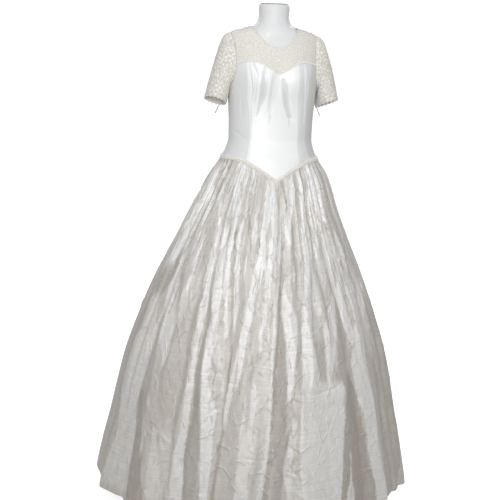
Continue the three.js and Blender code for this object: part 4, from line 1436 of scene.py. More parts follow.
@dataclass
class Sleeve(GownPart):
    """A short set-in lace sleeve, eased at its head, with a scalloped edging and a free ribbon end."""

    side: str
    hem_place: tuple[float, float, float] = (178.0, -5.0, 1352.0)
    hem_half_across: float = 36.0
    hem_half_deep: float = 58.0
    outward_tilt: float = 18.0
    forward_tilt: float = 10.0
    lean: float = 16.0
    inset: float = 1.0
    ease: SmoothTable = SmoothTable(
        "angle from_armhole from_hem", (0, 37, 128), (90, 26, 60), (180, 9, 16))
    rows: int = 72
    columns: int = 132
    scallops: int = 18
    edging_band: float = 7.0
    edging_drop: float = 2.5
    edging_scallop: float = 3.5
    edging_lift: float = 0.9
    ribbon_angle: float = 238.0
    ribbon_width: float = 3.0
    ribbon_length: float = 34.0
    ribbon_swing: float = 4.0
    ribbon_inside: float = 0.12
    ribbon_lift: float = -2.1
    loop_step: float = 3.4
    loop_size: float = 0.0019
    trim: LaceTrim = LaceTrim(0.0036, 0.0105, 0.0044, 0.0110)

    @property
    def down(self) -> Array:
        """The way that the sleeve hangs."""
        return np.array((math.sin(math.radians(self.lean)), 0.0, -math.cos(math.radians(self.lean))))

    def seam(self, angle: Array) -> tuple[Array, Array]:
        """Returns the points of the seam on the armhole and the figure's normals there."""
        lines, figure = self.lines, self.lines.figure
        front = angle <= 180
        share = np.where(front, angle, 360 - angle) / 180
        height = lines.armhole.read("height", share)
        turn = figure.turn_across(height, lines.armhole.read("across", share))
        turn = np.where(front, turn, 180 - turn)
        point, normal = figure.surface(height, turn), figure.normal(height, turn)
        middle = figure.surface(np.array((lines.armpit + lines.shoulder_tip) / 2), np.array(90.0))
        inward = middle - point
        inward = unit(inward - normal * np.sum(inward * normal, axis=-1, keepdims=True))
        return point + inward * self.inset + normal * lines.lace_lift, normal

    def hem(self, angle: Array) -> Array:
        """Returns points of the sleeve's hem."""
        across = self.hem_half_across * np.cos(np.radians(angle))
        deep = self.hem_half_deep * np.sin(np.radians(angle))
        out, forward = math.radians(self.outward_tilt), math.radians(self.forward_tilt)
        x, y, z = self.hem_place
        return np.stack((x + across * math.cos(out), y - deep * math.cos(forward),
                         z + across * math.sin(out) + deep * math.sin(forward)), axis=-1)

    def surface(self, angle: Array, down: Array) -> Array:
        """Returns points of the sleeve: down is 0 at the armhole and 1 at the hem."""
        around = np.mod(angle, FULL_TURN)
        half = np.where(around <= 180, around, 360 - around)
        edge, normal = self.seam(around)
        out = np.stack((np.ones_like(half), 0.4 * normal[..., 1], np.zeros_like(half)), axis=-1)
        hem = self.hem(around)
        leave = edge + unit(out) * self.ease.read("from_armhole", half)[..., None]
        arrive = hem - self.down * self.ease.read("from_hem", half)[..., None]
        t = np.asarray(down, float)[..., None]
        back = 1 - t
        return edge * back**3 + leave * 3 * t * back**2 + arrive * 3 * t * t * back + hem * t**3

    def lifted(self, angle: Array, down: Array, lift: Array | float) -> Array:
        """Returns points of the sleeve moved outwards by a lift."""
        angle, down = np.broadcast_arrays(np.asarray(angle, float), np.asarray(down, float))
        inside = np.clip(down, 0.004, 0.996)
        around = self.surface(angle + 1.5, inside) - self.surface(angle - 1.5, inside)
        along = self.surface(angle, inside + 0.004) - self.surface(angle, inside - 0.004)
        normal = unit(np.cross(along, around))
        return self.surface(angle, down) + normal * np.asarray(lift, float)[..., None]

    def drape(self, angle: Array, down: Array) -> Array:
        """Returns the soft ease folds of the sleeve head and the drag folds below it."""
        head = np.exp(-((down - 0.14) / 0.16) ** 2) * (np.cos(np.radians(angle)) > 0)
        gathers = 0.9 * np.cos(np.radians(angle * 22)) * head * np.cos(np.radians(angle)) ** 2
        drag = 1.5 * np.sin(np.radians(angle * 3) + 5.0 * down) * smoothstep(down, 0.2, 0.6)
        return gathers + drag * (1 - smoothstep(down, 0.86, 1.0))

    def mirrored(self, points: Array) -> Array:
        """Returns points on this sleeve's own side."""
        return points * (SIDES[self.side], 1.0, 1.0)

    def oriented(self, points: Array) -> Array:
        """Returns a grid on this side with its columns in the order that faces outwards."""
        placed = self.mirrored(points)
        return placed[:, ::-1] if self.side == "left" else placed

    def build(self) -> None:
        """Makes the sleeve, its edging and its ribbon end."""
        self.build_ribbon()
        angle, down = np.meshgrid(np.arange(self.columns) * FULL_TURN / self.columns,
                                  np.linspace(1.0, 0.0, self.rows))
        points = self.oriented(self.lifted(angle, down, self.drape(angle, down)))
        name = f"sleeve_{self.side}"
        piece = shell(f"{name}_lace", points, laid_flat(points, ring=True), ring=True)
        halves = (f"sleeve_front_{self.side}", f"sleeve_back_{self.side}")
        finish_piece(piece, self.wardrobe.lace, halves)
        seed = 41 if self.side == "left" else 43
        raised = self.motifs.embroider(piece, name, self.trim, self.wardrobe.applique, seed)
        self.build_edging()

    def build_edging(self) -> None:
        """Makes the scalloped edging of the hem and the thread loops along its scallops."""
        columns = self.scallops * 12
        angle = np.arange(columns) * FULL_TURN / columns
        half = np.where(angle <= 180, angle, 360 - angle)
        band = self.edging_band / (3 * self.ease.read("from_hem", half))
        wave = np.abs(np.sin(np.radians(angle * self.scallops / 2)))
        upper = [self.lifted(angle, 1 - band * s, self.edging_lift) for s in (0.0, 0.33, 0.66, 1.0)]
        fall = self.edging_drop + self.edging_scallop * wave
        lower = [upper[0] + self.down * (fall * s)[:, None] for s in (1.0, 0.66, 0.33)]
        points = self.oriented(np.stack(lower + upper))
        name = f"sleeve_edging_{self.side}"
        piece = shell(f"{name}_lace", points, laid_flat(points, ring=True), ring=True)
        finish_piece(piece, self.wardrobe.lace, (name,))
        line = self.mirrored(lower[0])
        ring = np.concatenate((line, line[:1]))
        places = even_steps(ring, self.loop_step)
        spots = np.stack([np.interp(places, np.arange(columns + 1), axis) for axis in ring.T], axis=-1)
        facing = unit((spots - self.mirrored(np.array(self.hem_place))) * (1.0, 1.0, 0.15))
        loops = self.motifs.on_line.grow(
            f"{name}_loops", trail(name, spots, facing), self.motifs.loop, self.wardrobe.applique,
            size=self.loop_size, size_spread=0.15, spin=0.3, seed=9)
        finish_piece(loops, self.wardrobe.applique)

    def build_ribbon(self) -> None:
        half = math.degrees(self.ribbon_width / 2 / self.hem_half_deep)
        edges = np.array((self.ribbon_angle - half, self.ribbon_angle, self.ribbon_angle + half))
        inside = [self.lifted(edges, np.full(3, 1 - self.ribbon_inside * s), self.ribbon_lift)
                  for s in (1.0, 0.75, 0.5, 0.25, 0.0)]
        t = np.linspace(0.0, 1.0, 15)[1:]
        swing = np.stack((self.ribbon_swing * t * t, 0 * t, 0 * t), axis=-1)
        flat = (inside[-1] - inside[-1][1]) * (1.0, 1.0, 0.0)
        faced = np.array(((-1.0,), (0.0,), (1.0,))) * (self.ribbon_width / 2, -0.3, 0.0)
        turned = [flat + (faced - flat) * min(1.0, 2.5 * s) for s in t]
        hanging = [inside[-1][1] + self.down * self.ribbon_length * s + out + edge
                   for s, out, edge in zip(t, swing, turned)]
        points = self.mirrored(np.stack(inside + hanging))
        if self.side == "right":
            points = points[:, ::-1]
        name = f"sleeve_ribbon_{self.side}"
        piece = shell(f"{name}_satin", points, laid_flat(points))
        finish_piece(piece, self.wardrobe.ribbon, (name,))


@dataclass
class Braids(GownPart):
    """Twisted cream braids along the sweetheart edge and the pointed waist seam."""

    base_lift: float = 1.9
    crown_lift: float = 1.2
    grain_step: float = 3.1
    loop_step: float = 4.2

    def band(self, name: str, turn: Array, low: Array, high: Array,
             finish: Material, nodes: tuple[str, ...]) -> None:
        """Makes the woven band under a braid's twist.

        Args:
            name: The band's name.
            turn: Turns along the band.
            low: Heights of its lower edge.
            high: Heights of its upper edge.
            finish: Its material.
            nodes: CAD nodes that it replaces.
        """
        crown = np.array((0.0, 0.55, 0.9, 1.0, 0.9, 0.55, 0.0))
        shares = np.linspace(0.0, 1.0, len(crown))
        rows = np.stack([self.lines.figure.lifted(low + (high - low) * share, turn,
                                                  self.base_lift + self.crown_lift * up)
                         for share, up in zip(shares, crown)])
        finish_piece(shell(name, rows, laid_flat(rows)), finish, nodes)

    def twist(self, name: str, turn: Array, height: Array, motif: Object, step: float,
              size: float, lift: float, finish: Material) -> None:
        """Sets a motif along a line of the braid.

        Args:
            name: The piece's name.
            turn: Turns along the line.
            height: Heights along the line.
            motif: The motif.
            step: Step between motifs in millimetres.
            size: The motif's size in metres.
            lift: Its lift above the figure in millimetres.
            finish: Its material.
        """
        spots, facing = self.lines.along(height, turn, lift, step)
        piece = self.motifs.on_line.grow(name, trail(name, spots, facing), motif, finish,
                                         size=size, size_spread=0.12, spin=0.15, seed=3)
        finish_piece(piece, finish)

    def build(self) -> None:
        """Makes both braids."""
        reach = self.lines.armhole_turn - 1.0
        turn = np.linspace(-reach, reach, 240)
        edge = self.lines.sweetheart.read("height", np.abs(turn))
        finish = self.wardrobe.pale_braid
        self.band("sweetheart_braid_band", turn, edge - 2.0, edge + 4.0, finish, ("sweetheart_braid",))
        for name, up, motif, step, size, lift in (
                ("sweetheart_twist", 1.0, self.motifs.twist, self.grain_step, 0.0026, 3.0),
                ("sweetheart_loops", 4.2, self.motifs.loop, self.loop_step, 0.0020, 2.1)):
            self.twist(name, turn, edge + up, motif, step, size, lift, finish)
        turn = np.linspace(-180.0, 180.0, 720)
        edge = self.lines.waist(turn)
        finish = self.wardrobe.braid
        nodes = ("waist_braid_front", "waist_braid_back_left", "waist_braid_back_right")
        self.band("waist_braid_band", turn, edge - 1.5, edge + 9.0, finish, nodes)
        for name, up, motif, step, size, lift in (
                ("waist_twist", 3.75, self.motifs.twist, self.grain_step, 0.0031, 3.2),
                ("waist_loops_upper", 8.15, self.motifs.loop, self.loop_step, 0.0024, 2.2),
                ("waist_loops_lower", -0.65, self.motifs.loop, self.loop_step, 0.0024, 2.4)):
            self.twist(name, turn, edge + up, motif, step, size, lift, finish)


@dataclass
class Buttons(GownPart):
    """A row of covered buttons down the centre back."""

    count: int = 12
    top: float = 1540.0
    bottom: float = 1186.0
    radius: float = 5.5
    seat: float = 0.4

    def build(self) -> None:
        """Makes the buttons as one piece."""
        height = np.linspace(self.top, self.bottom, self.count)
        turn = np.full(self.count, 180.0)
        cloth = np.where(height > self.lines.back_top, self.lines.lace_lift, self.lines.satin_lift)
        points = self.lines.figure.lifted(height, turn, cloth + self.seat)
        facing = self.lines.figure.normal(height, turn)
        piece = self.motifs.on_line.grow(
            "back_buttons", trail("centre_back", points, facing), self.motifs.button, self.wardrobe.satin,
            size=self.radius * MM, seed=2)
        nodes = tuple(f"button_{i:02d}" for i in range(1, self.count + 1))
        finish_piece(piece, self.wardrobe.satin, nodes)


@dataclass
class Skirt(GownPart):
    """The long gathered skirt in five taffeta panels, with strips of painted highlight and painted shade
    along its folds.
    """

    sections: SmoothTable = SmoothTable(
        "height half_width front back shift",
        (4, 529, 420, 780, -20), (122, 517, 407, 742, -19), (332, 473, 372, 655, -17),
        (537, 429, 322, 538, -16), (706, 371, 268, 425, -14), (838, 317, 224, 330, -12),
        (970, 257, 182, 238, -9), (1034, 229, 160, 192, -5), (1100, 201, 140, 150, 0),
        (1170, 166, 122, 118, 2),
    )
    folds: tuple[tuple[float, float], ...] = (
        (-172, 36), (-154, 42), (-137, 34), (-118, 42), (-99, 36), (-80, 42), (-52, 40), (-28, 28), (-12, 16),
        (-2, 26), (10, 9), (29, 40), (43, 36), (68, 38), (86, 34), (104, 42), (123, 34), (143, 40), (163, 36),
    )
    hem: float = 120.0
    seam_gap: float = 0.7
    roundness: float = 2.05
    seam_blend: float = 48.0
    wall: float = 1.6
    gathers: int = 48
    fold_growth: float = 900.0
    panels: tuple[tuple[str, float, float, int, int], ...] = (
        ("skirt_front", -56.25, 56.25, 320, 300),
        ("skirt_side_left", 56.25, 123.75, 175, 235),
        ("skirt_side_right", -123.75, -56.25, 175, 235),
        ("skirt_back_left", 123.75, 180.0, 165, 235),
        ("skirt_back_right", -180.0, -123.75, 165, 235),
    )
    faces: tuple[FoldFace, ...] = (
        FoldFace((-79, -90, -97, -99, -100, -101, -102), 1095, 700, 13, 24),
        FoldFace((-66, -66, -66.3, -68, -69, -67.5, -66.3), 780, 100, 8, 26),
        FoldFace((-62, -60, -57, -54.3, -53.5, -49.5, -44.5), 860, 100, 11, 22),
        FoldFace((-56, -52, -49.8, -49.5, -49.5, -49.5, -49.5), 990, 640, 16, 24),
        FoldFace((-41, -38.7, -36.8, -36, -36.3, -37.2, -36.5), 1020, 100, 8, 22),
        FoldFace((-37, -32.6, -30.3, -29.5, -27.8, -25.7, -25.2), 1000, 100, 7, 20),
        FoldFace((-33, -28, -24.3, -23.3, -24, -24, -24), 960, 430, 6, 9),
        FoldFace((-32, -22.3, -19.6, -19, -19, -19, -19), 1075, 720, 7, 10),
        FoldFace((-14.8, -14.5, -13, -15.5, -19.3, -22, -23), 1065, 400, 7, 15),
        FoldFace((-8, -5.5, -6, -5.5, -8.5, -10.8, -12.8), 960, 100, 7, 24),
        FoldFace((-4, -2, -2, -2, -2, -2, -2), 1095, 930, 9, 9),
        FoldFace((0.8, 0, -1.2, -2.2, -3.1, -4.2, -6), 1000, 100, 4, 7),
        FoldFace((10.6, 7.5, 3.6, 6.4, 4.8, 4.2, 2.5), 1095, 100, 8, 12),
        FoldFace((20.4, 16.5, 14.2, 12.8, 12, 12, 12), 1070, 500, 8, 22),
        FoldFace((26, 24, 22.5, 24.5, 24.5, 24.5, 24.5), 840, 500, 9, 22),
        FoldFace((30, 34, 36, 36, 36, 36, 36), 1105, 950, 15, 15),
        FoldFace((37, 39.6, 42.6, 40.8, 42.3, 42.3, 43.3), 985, 100, 9, 22),
        FoldFace((47, 52, 55, 57, 57, 57, 57), 990, 660, 7, 12),
        FoldFace((64, 63, 62, 61, 60, 60, 60), 900, 100, 10, 20, 16, -0.3),
    )
    creases: tuple[Crease, ...] = (
        Crease(9.0, 514, 14.5, 480, 6, -4.0, 6.0),
        Crease(14.0, 484, 21, 492, 6, -4.5, 3.0),
        Crease(20.0, 488, 28, 512, 5, -3.0, 4.0),
        Crease(15.5, 470, 17.0, 440, 5, 2.4, 2.0),
        Crease(4.5, 392, 2.5, 330, 9, 4.5, 4.0),
        Crease(3.0, 340, 7.0, 318, 7, -3.5),
        Crease(2.6, 318, 7.5, 210, 10, 5.0, -8.0),
        Crease(7.0, 300, 3.4, 236, 8, -4.0, 6.0),
        Crease(1.5, 262, 9.0, 244, 7, 3.0, 3.0),
        Crease(-57, 392, -50, 340, 8, 3.2, 5.0),
        Crease(-53, 384, -48, 356, 6, -2.4),
        Crease(-47, 352, -41, 322, 6, 2.2, 3.0),
        Crease(12, 420, 19, 405, 5, -1.4, 2.0),
        Crease(14, 390, 20, 398, 5, 1.2, -2.0),
        Crease(13, 330, 17, 352, 6, -1.4, 3.0),
        Crease(-30, 640, -24, 560, 8, 2.6, 5.0),
        Crease(40, 560, 46, 500, 9, -2.8, -5.0),
        Crease(-66, 560, -60, 470, 9, 2.8, 6.0),
    )
    # Painted strips of highlight and shade along the folds, each given by its rows.
    painted_strips: tuple[PaintedStrip, ...] = (
        PaintedStrip(-0.15, ((750, -45, -38), (630, -49, -36.5), (510, -57, -36), (400, -53, -39))),
        PaintedStrip(-0.25, ((1060, -70, -55), (970, -51, -43), (810, -43, -39))),
        PaintedStrip(-0.3, ((760, -35, -31), (520, -35, -31))),
        PaintedStrip(-0.5, ((480, -35.5, -30.5), (290, -35, -28), (120, -33, -24))),
        PaintedStrip(-0.35, ((660, -0.5, 3), (540, 0, 4), (420, -1.5, 7), (300, -2.5, 3), (120, -3.5, 0.5))),
        PaintedStrip(-0.3, ((680, 17, 22), (540, 18, 22.5))),
        PaintedStrip(-0.5, ((780, 32, 35), (690, 32, 39.5), (530, 25.5, 31))),
        PaintedStrip(-0.3, ((1110, 51, 61), (990, 45, 61), (860, 52, 65))),
        PaintedStrip(-0.45, ((720, 60, 76), (540, 53, 80), (120, 48, 62))),
        PaintedStrip(-0.85, ((510, 30.5, 34.5), (450, 29, 38), (300, 25.5, 39), (120, 22.5, 41))),
        PaintedStrip(-0.4, ((780, -95, -86), (520, -93, -80), (360, -92, -78), (140, -93, -84))),
        PaintedStrip(-0.75, ((440, -66, -61), (340, -63, -57), (120, -59, -48))),
        PaintedStrip(-0.55, ((870, -72, -65), (800, -86, -66), (740, -84, -71))),
        PaintedStrip(-0.3, ((550, -65, -60), (440, -61, -57), (340, -53, -46))),
        PaintedStrip(0.3, ((920, -60, -53), (810, -54, -45), (710, -51, -47))),
        PaintedStrip(0.3, ((930, 24, 33), (810, 20, 29.5), (660, 17, 21.5))),
        PaintedStrip(0.25, ((680, -6.5, -3), (480, -8, -3), (120, -10.5, -6))),
        PaintedStrip(0.25, ((340, -47, -41), (120, -41, -37))),
        PaintedStrip(0.85, ((490, 9.5, 29), (350, 8, 26), (120, 8, 22.5))),
        PaintedStrip(0.95, ((1050, -78, -68), (960, -86, -71), (860, -86, -72))),
        PaintedStrip(0.8, ((1110, -80, -71), (1060, -73, -63))),
        PaintedStrip(0.6, ((720, -81, -71), (640, -78, -65), (540, -86, -63), (410, -78, -67), (290, -76, -62),
                  (160, -80, -60))),
        PaintedStrip(0.6, ((1040, -61, -57), (980, -60, -56.5), (890, -64.5, -59.5))),
        PaintedStrip(0.55, ((980, -55.5, -52.5), (860, -51, -48))),
        PaintedStrip(0.7, ((850, -66.5, -61.5), (740, -66.5, -55), (680, -62, -50), (570, -53, -50.5))),
        PaintedStrip(0.45, ((380, -56, -55), (350, -57, -53), (300, -56, -54))),
        PaintedStrip(0.5, ((340, -50, -48), (240, -50, -44.5), (120, -48, -41))),
        PaintedStrip(0.7, ((1060, -53.5, -49), (960, -41, -38.5), (760, -38, -35), (520, -37, -35), (380, -38, -35),
                  (300, -40, -35), (120, -38, -33))),
        PaintedStrip(0.8, ((940, -35.5, -32.5), (870, -35, -29.5), (700, -31, -27), (640, -32, -26.5),
                  (530, -30.5, -28), (440, -29.5, -23.5), (300, -27.5, -23.5), (120, -26, -24))),
        PaintedStrip(0.4, ((640, -26.5, -25), (510, -22.5, -21))),
        PaintedStrip(0.8, ((1160, -41, -32), (1110, -35, -28))),
        PaintedStrip(0.9, ((1110, -42, -34.5), (1040, -34, -28), (950, -31, -27.5), (820, -28, -25.5),
                  (670, -23.5, -22))),
        PaintedStrip(0.7, ((960, -24.5, -22), (850, -23, -20), (690, -20, -18))),
        PaintedStrip(0.6, ((590, -17.5, -16), (430, -20.5, -19))),
        PaintedStrip(0.6, ((1150, -62, -59), (1070, -51.5, -48))),
        PaintedStrip(0.6, ((1140, -25, -22), (1100, -21, -18))),
        PaintedStrip(0.7, ((1010, -14.5, -12), (950, -15.5, -12))),
        PaintedStrip(0.95, ((1100, -8, -2), (1030, -8, 0.5), (980, -8.5, -4.5), (860, -11.5, -6.5), (720, -14.5, -11),
                   (650, -16, -13), (530, -16, -15))),
        PaintedStrip(0.85, ((1020, -3, 2), (950, -2, 1), (850, -5, -1.5), (630, -8, -6.5))),
        PaintedStrip(0.6, ((500, -12, -8), (390, -13.5, -9), (120, -15, -10.5))),
        PaintedStrip(0.9, ((1100, 7.5, 15), (1040, 6.5, 14), (940, 7, 10))),
        PaintedStrip(0.8, ((1110, 20.5, 24), (1000, 19.5, 21.5), (880, 17, 20.5), (760, 14, 18), (670, 11.5, 16),
                  (500, 10, 18))),
        PaintedStrip(0.85, ((1160, 33, 39), (1060, 28, 36), (980, 28, 34), (940, 28, 30))),
        PaintedStrip(0.85, ((1140, 38, 43), (990, 38, 44), (860, 32, 39), (780, 33.5, 39), (610, 38.5, 42))),
        PaintedStrip(0.7, ((750, 30, 33), (680, 23, 30), (640, 22, 29), (510, 21.5, 22.5))),
        PaintedStrip(0.8, ((960, 50.5, 53.5), (860, 43, 53.5), (770, 43, 53), (680, 44, 49.5), (560, 36, 45.5),
                  (380, 39, 47), (120, 41, 47))),
        PaintedStrip(0.5, ((770, 57, 64), (680, 49.5, 56), (580, 50.5, 55.5))),
        PaintedStrip(0.8, ((770, 3, 5), (700, 3, 10), (640, 4, 9), (490, 4, 5))),
        PaintedStrip(0.6, ((390, 5, 7), (330, 3, 6.5), (270, 2, 4.5), (240, 2, 7.5), (120, 5, 10))),
        PaintedStrip(0.5, ((280, 28.5, 29), (120, 24.5, 28))),
        PaintedStrip(-0.8, ((940, -27, -25), (760, -22.5, -21), (590, -19.8, -18.4), (470, -21, -19.8),
                   (120, -23.2, -21.8))),
        PaintedStrip(0.8, ((940, 2.5, 3.7), (760, -0.3, 0.9), (590, -2.3, -1.1), (390, -4, -2.8), (120, -7.5, -5.8))),
        PaintedStrip(-0.8, ((910, 3.5, 4.8), (760, 0.9, 2.1), (590, -1.1, 0.1), (390, -2.8, -1.4), (120, -5.6, -4.2))),
        PaintedStrip(-0.7, ((1040, -22.5, -21), (980, -19.5, -17.5), (910, -16, -14.5))),
        PaintedStrip(-0.7, ((1110, 3, 5), (1040, 6.5, 9))),
    )
    calm_turns: tuple[float, float] = (9.0, 28.0)
    calm_heights: tuple[float, float] = (400.0, 480.0)
    viewer: tuple[float, float] = (-600.0, -3300.0)
    steepest: float = 0.32
    softened: float = 0.5
    row_crowding: float = 1.12
    painted_edge_ragged: float = 2.3
    painted_edge_soft: float = 1.6
    # Painted highlight at the waist that fades to painted shade at the hem.
    painted_waist_highlight: float = 0.24
    painted_hem_shade: float = -0.08
    # Count of hair-thin painted strips of highlight and shade.
    fine_painted_pleats: int = 110
    crumples: int = 1000
    seed: int = 1907

    def gather_waves(self, turn: Array, drop: Array) -> Array:
        """Gives the uneven gathers, with small pinches between them near the waist.

        Args:
            turn: Turns.
            drop: Distances below the waist seam.

        Returns:
            About 0 at each crest and up to about 1 between crests.
        """
        draw = np.random.default_rng(self.seed + 2)
        count, pinches = 2 * self.gathers, 5 * self.gathers
        spots = (np.arange(count) + draw.uniform(-0.3, 0.3, count)) * FULL_TURN / count
        crests, valleys = draw.uniform(0.0, 0.35, count), draw.uniform(0.45, 1.25, count)
        depth = np.where(np.arange(count) % 2 == 0, crests, valleys)
        fine = draw.uniform(0.0, 0.45, pinches)
        fine_spots = (np.arange(pinches) + draw.uniform(-0.3, 0.3, pinches)) * FULL_TURN / pinches
        angle = np.radians(turn)
        sway = 1.1 * np.sin(drop / 62.0 + angle * 7) + 0.5 * np.sin(drop / 23.0 + angle * 19)
        around = np.mod(turn + sway * smoothstep(drop, 30.0, 240.0), FULL_TURN)
        pinched = np.interp(around, fine_spots, fine, period=FULL_TURN)
        pinched = pinched * (1 - 0.7 * smoothstep(drop, 60.0, 420.0))
        return np.interp(around, spots, depth, period=FULL_TURN) + pinched

    def main_folds(self, turn: Array) -> Array:
        """Returns how deep the main folds are at the hem, with pressed edges at each ridge."""
        ridges = np.array([ridge for ridge, _ in self.folds] + [self.folds[0][0] + FULL_TURN])
        troughs = np.array([trough for _, trough in self.folds])
        around = np.mod(turn - ridges[0], FULL_TURN) + ridges[0]
        i = np.clip(np.searchsorted(ridges, around, side="right") - 1, 0, len(troughs) - 1)
        share = (around - ridges[i]) / (ridges[i + 1] - ridges[i])
        soft = 0.5 - 0.5 * np.cos(2 * np.pi * share)
        pressed = 1 - np.abs(2 * share - 1)
        return troughs[i] * (0.55 * soft + 0.45 * pressed)

    def main_depth(self, turn: Array, drop: Array) -> Array:
        """Returns the depth of the main folds, which grows from the waist to the hem."""
        return self.softened * self.main_folds(turn) * np.minimum(1.0, drop / self.fold_growth) ** 0.8

    def ellipse(self, turn: Array, height: Array) -> tuple[Array, Array]:
        """Returns points of the skirt without folds, and the level outward directions there."""
        read = self.sections.read
        power = 2 / self.roundness
        sine, facing = np.sin(np.radians(turn)), np.cos(np.radians(turn))
        half = read("half_width", height)
        depth = np.where(facing > 0, read("front", height), read("back", height))
        points = np.stack((read("shift", height) + half * signed_power(sine, power),
                           -depth * signed_power(facing, power), height), axis=-1)
        outward = unit(np.stack((sine / half, -facing / depth, np.zeros_like(sine)), axis=-1))
        return points, outward

    def hidden_faces(self) -> list[FoldFace]:
        """Returns seeded fold faces for the sides and the back, as uneven as those in front."""
        draw = np.random.default_rng(self.seed)
        faces: list[FoldFace] = []
        turn = 68.0
        while turn < 292.0:
            drift = np.cumsum(draw.normal(0.0, 1.1, len(FACE_HEIGHTS)))
            line = tuple(float(turn + d) for d in drift)
            top = draw.choice((1080.0, 980.0, 860.0))
            bottom = draw.choice((100.0, 100.0, 420.0, 620.0))
            slope = float(draw.choice((-1.0, 1.0)) * draw.uniform(0.12, 0.42))
            faces.append(FoldFace(line, top, bottom, draw.uniform(6, 11), draw.uniform(10, 26), 16.0, slope))
            turn += draw.uniform(5.5, 11.0)
        return faces

    @staticmethod
    def strip(tone: float, turn: float, heights: tuple[float, ...], sway: Any, half_widths: Any) -> PaintedStrip:
        """Returns a strip of painted highlight or shade about a turn, with a sway and a half width at each
        height.
        """
        rows = zip(heights, sway, half_widths)
        return PaintedStrip(tone, tuple((height, turn + s - half, turn + s + half) for height, s, half in rows))

    def hidden_painted_strips(self) -> list[PaintedStrip]:
        """Returns seeded strips of painted highlight and shade for the sides and the back, as uneven as those
        in front.
        """
        draw = np.random.default_rng(self.seed + 3)
        painted_strips: list[PaintedStrip] = []
        turn = 80.0
        while turn < 264.0:
            top, bottom = draw.choice((1120.0, 1000.0, 860.0)), draw.choice((120.0, 120.0, 400.0, 640.0))
            sway, wide = draw.normal(0.0, 2.0, 3), draw.uniform(1.2, 3.2, 3)
            wide[0] *= 1.0 if top > 1100.0 else 0.15
            wide[2] *= 1.0 if bottom < 200.0 else 0.15
            tone = float(draw.choice((0.8, 0.6, -0.4, -0.6)))
            painted_strips.append(self.strip(tone, turn, (top, (top + bottom) / 2, bottom), sway, wide))
            turn += draw.uniform(3.0, 6.5)
        return painted_strips

    def fine_painted_strips(self) -> list[PaintedStrip]:
        """Returns seeded hair-thin strips of painted highlight and shade with pointed ends, standing for fine
        pleats that run down from the gathers, all round.
        """
        draw = np.random.default_rng(self.seed + 4)
        painted_strips: list[PaintedStrip] = []
        for turn in np.sort(draw.uniform(-180.0, 180.0, self.fine_painted_pleats)):
            top = draw.uniform(860.0, 1140.0)
            bottom = top - draw.uniform(90.0, 380.0)
            sway = (0.0, *draw.normal(0.0, 1.0, 2))
            half_widths = (-0.3, draw.uniform(0.35, 1.0), -0.3)
            tone = float(draw.choice((0.95, 0.75, -0.35, -0.55)))
            painted_strips.append(self.strip(tone, turn, (top, (top + bottom) / 2, bottom), sway, half_widths))
        return painted_strips

    def random_creases(self) -> list[Crease]:
        """Returns seeded crumples, mostly upright and thicker towards the hem."""
        draw = np.random.default_rng(self.seed + 1)
        creases: list[Crease] = []
        for _ in range(self.crumples):
            height = self.hem + 1000 * draw.random() ** 1.15
            turn = draw.uniform(-180.0, 180.0)
            length = draw.uniform(18.0, 80.0)
            slant = draw.normal(0.0, 0.55)
            pitch = 2.2 + 5.6 * (1150.0 - height) / 1050.0
            creases.append(Crease(turn, height, turn + length * math.sin(slant) / pitch,
                                  height + length * math.cos(slant), draw.uniform(3.2, 7.0),
                                  draw.choice((-1.0, 1.0)) * draw.uniform(0.8, 2.4), draw.normal(0.0, 4.0)))
        return creases

    def creased(self, relief: Relief, plain: Array, outward: Array) -> Array:
        """Presses the faces and creases into a panel.

        Args:
            relief: The panel's relief.
            plain: Its points without folds.
            outward: Its outward directions.

        Returns:
            How far each point stands out, in millimetres.
        """
        viewer = np.array(self.viewer) - plain[..., :2]
        base = np.arctan2(outward[..., 0], -outward[..., 1])
        facing = np.tan(np.clip(base - np.arctan2(viewer[..., 0], -viewer[..., 1]), -1.2, 1.2))
        for face in (*self.faces, *self.hidden_faces()):
            relief.add_face(face, self.main_depth, facing, self.steepest)
        folds = relief.field.copy()
        for crease in (*self.creases, *self.random_creases()):
            relief.add_crease(crease)
        low, high = self.calm_turns
        half = (high - low) / 2
        calm = 1 - smoothstep(np.abs(relief.turn - (low + high) / 2), half * 0.8, half)
        calm = calm * (1 - smoothstep(relief.height, *self.calm_heights))
        field = folds + (relief.field - folds) * (1 - 0.5 * calm)
        field[:, 1:-1] = 0.5 * field[:, 1:-1] + 0.25 * (field[:, 2:] + field[:, :-2])
        return field * smoothstep(relief.drop, 1.0, 26.0)

    def sunk(self, turn: Array, drop: Array, waves: Array) -> Array:
        """Gives the depth of the gathers and the main folds together.

        Args:
            turn: Turns.
            drop: Distances below the waist seam.
            waves: The gathers' waves.

        Returns:
            Depths in millimetres.
        """
        free = smoothstep(drop, 0.0, self.seam_blend)
        spent = smoothstep(drop, 45.0, self.fold_growth)
        opened = 4.0 + 4.0 * smoothstep(drop, 0.0, 45.0)
        gather = (opened * (1 - spent) + 1.2 * spent) * (1.25 - 0.25 * smoothstep(drop, 60.0, 320.0))
        begun = np.minimum(1.0, drop / (self.seam_blend / 3))
        gathered = gather * begun * (waves - 0.9 * (1 - free))
        return gathered + self.main_depth(turn, drop) * begun * np.maximum(free, 0.12)

    def painted_light_of(self, relief: Relief, waves: Array) -> Array:
        """Paints the strips of highlight and shade on a panel, with painted highlight on the gathers' crests,
        painted shade in their hollows and painted light that fades from the waist to the hem.

        Args:
            relief: The panel's relief.
            waves: The gathers' waves.

        Returns:
            The painted light of each point, from -1, painted shade, to 1, painted highlight.
        """
        for i, painted_light in enumerate((*self.hidden_painted_strips(), *self.painted_strips, *self.fine_painted_strips())):
            relief.add_painted_light(painted_light, self.seed + i)
        drop = relief.drop
        # Painted highlight on the gathers' crests and painted shade in their hollows, near the waist.
        gathered = (0.55 - 0.8 * waves) * (1 - smoothstep(drop, 60.0, 420.0))
        even = 1 - 0.22 * smoothstep(drop, 150.0, 350.0)
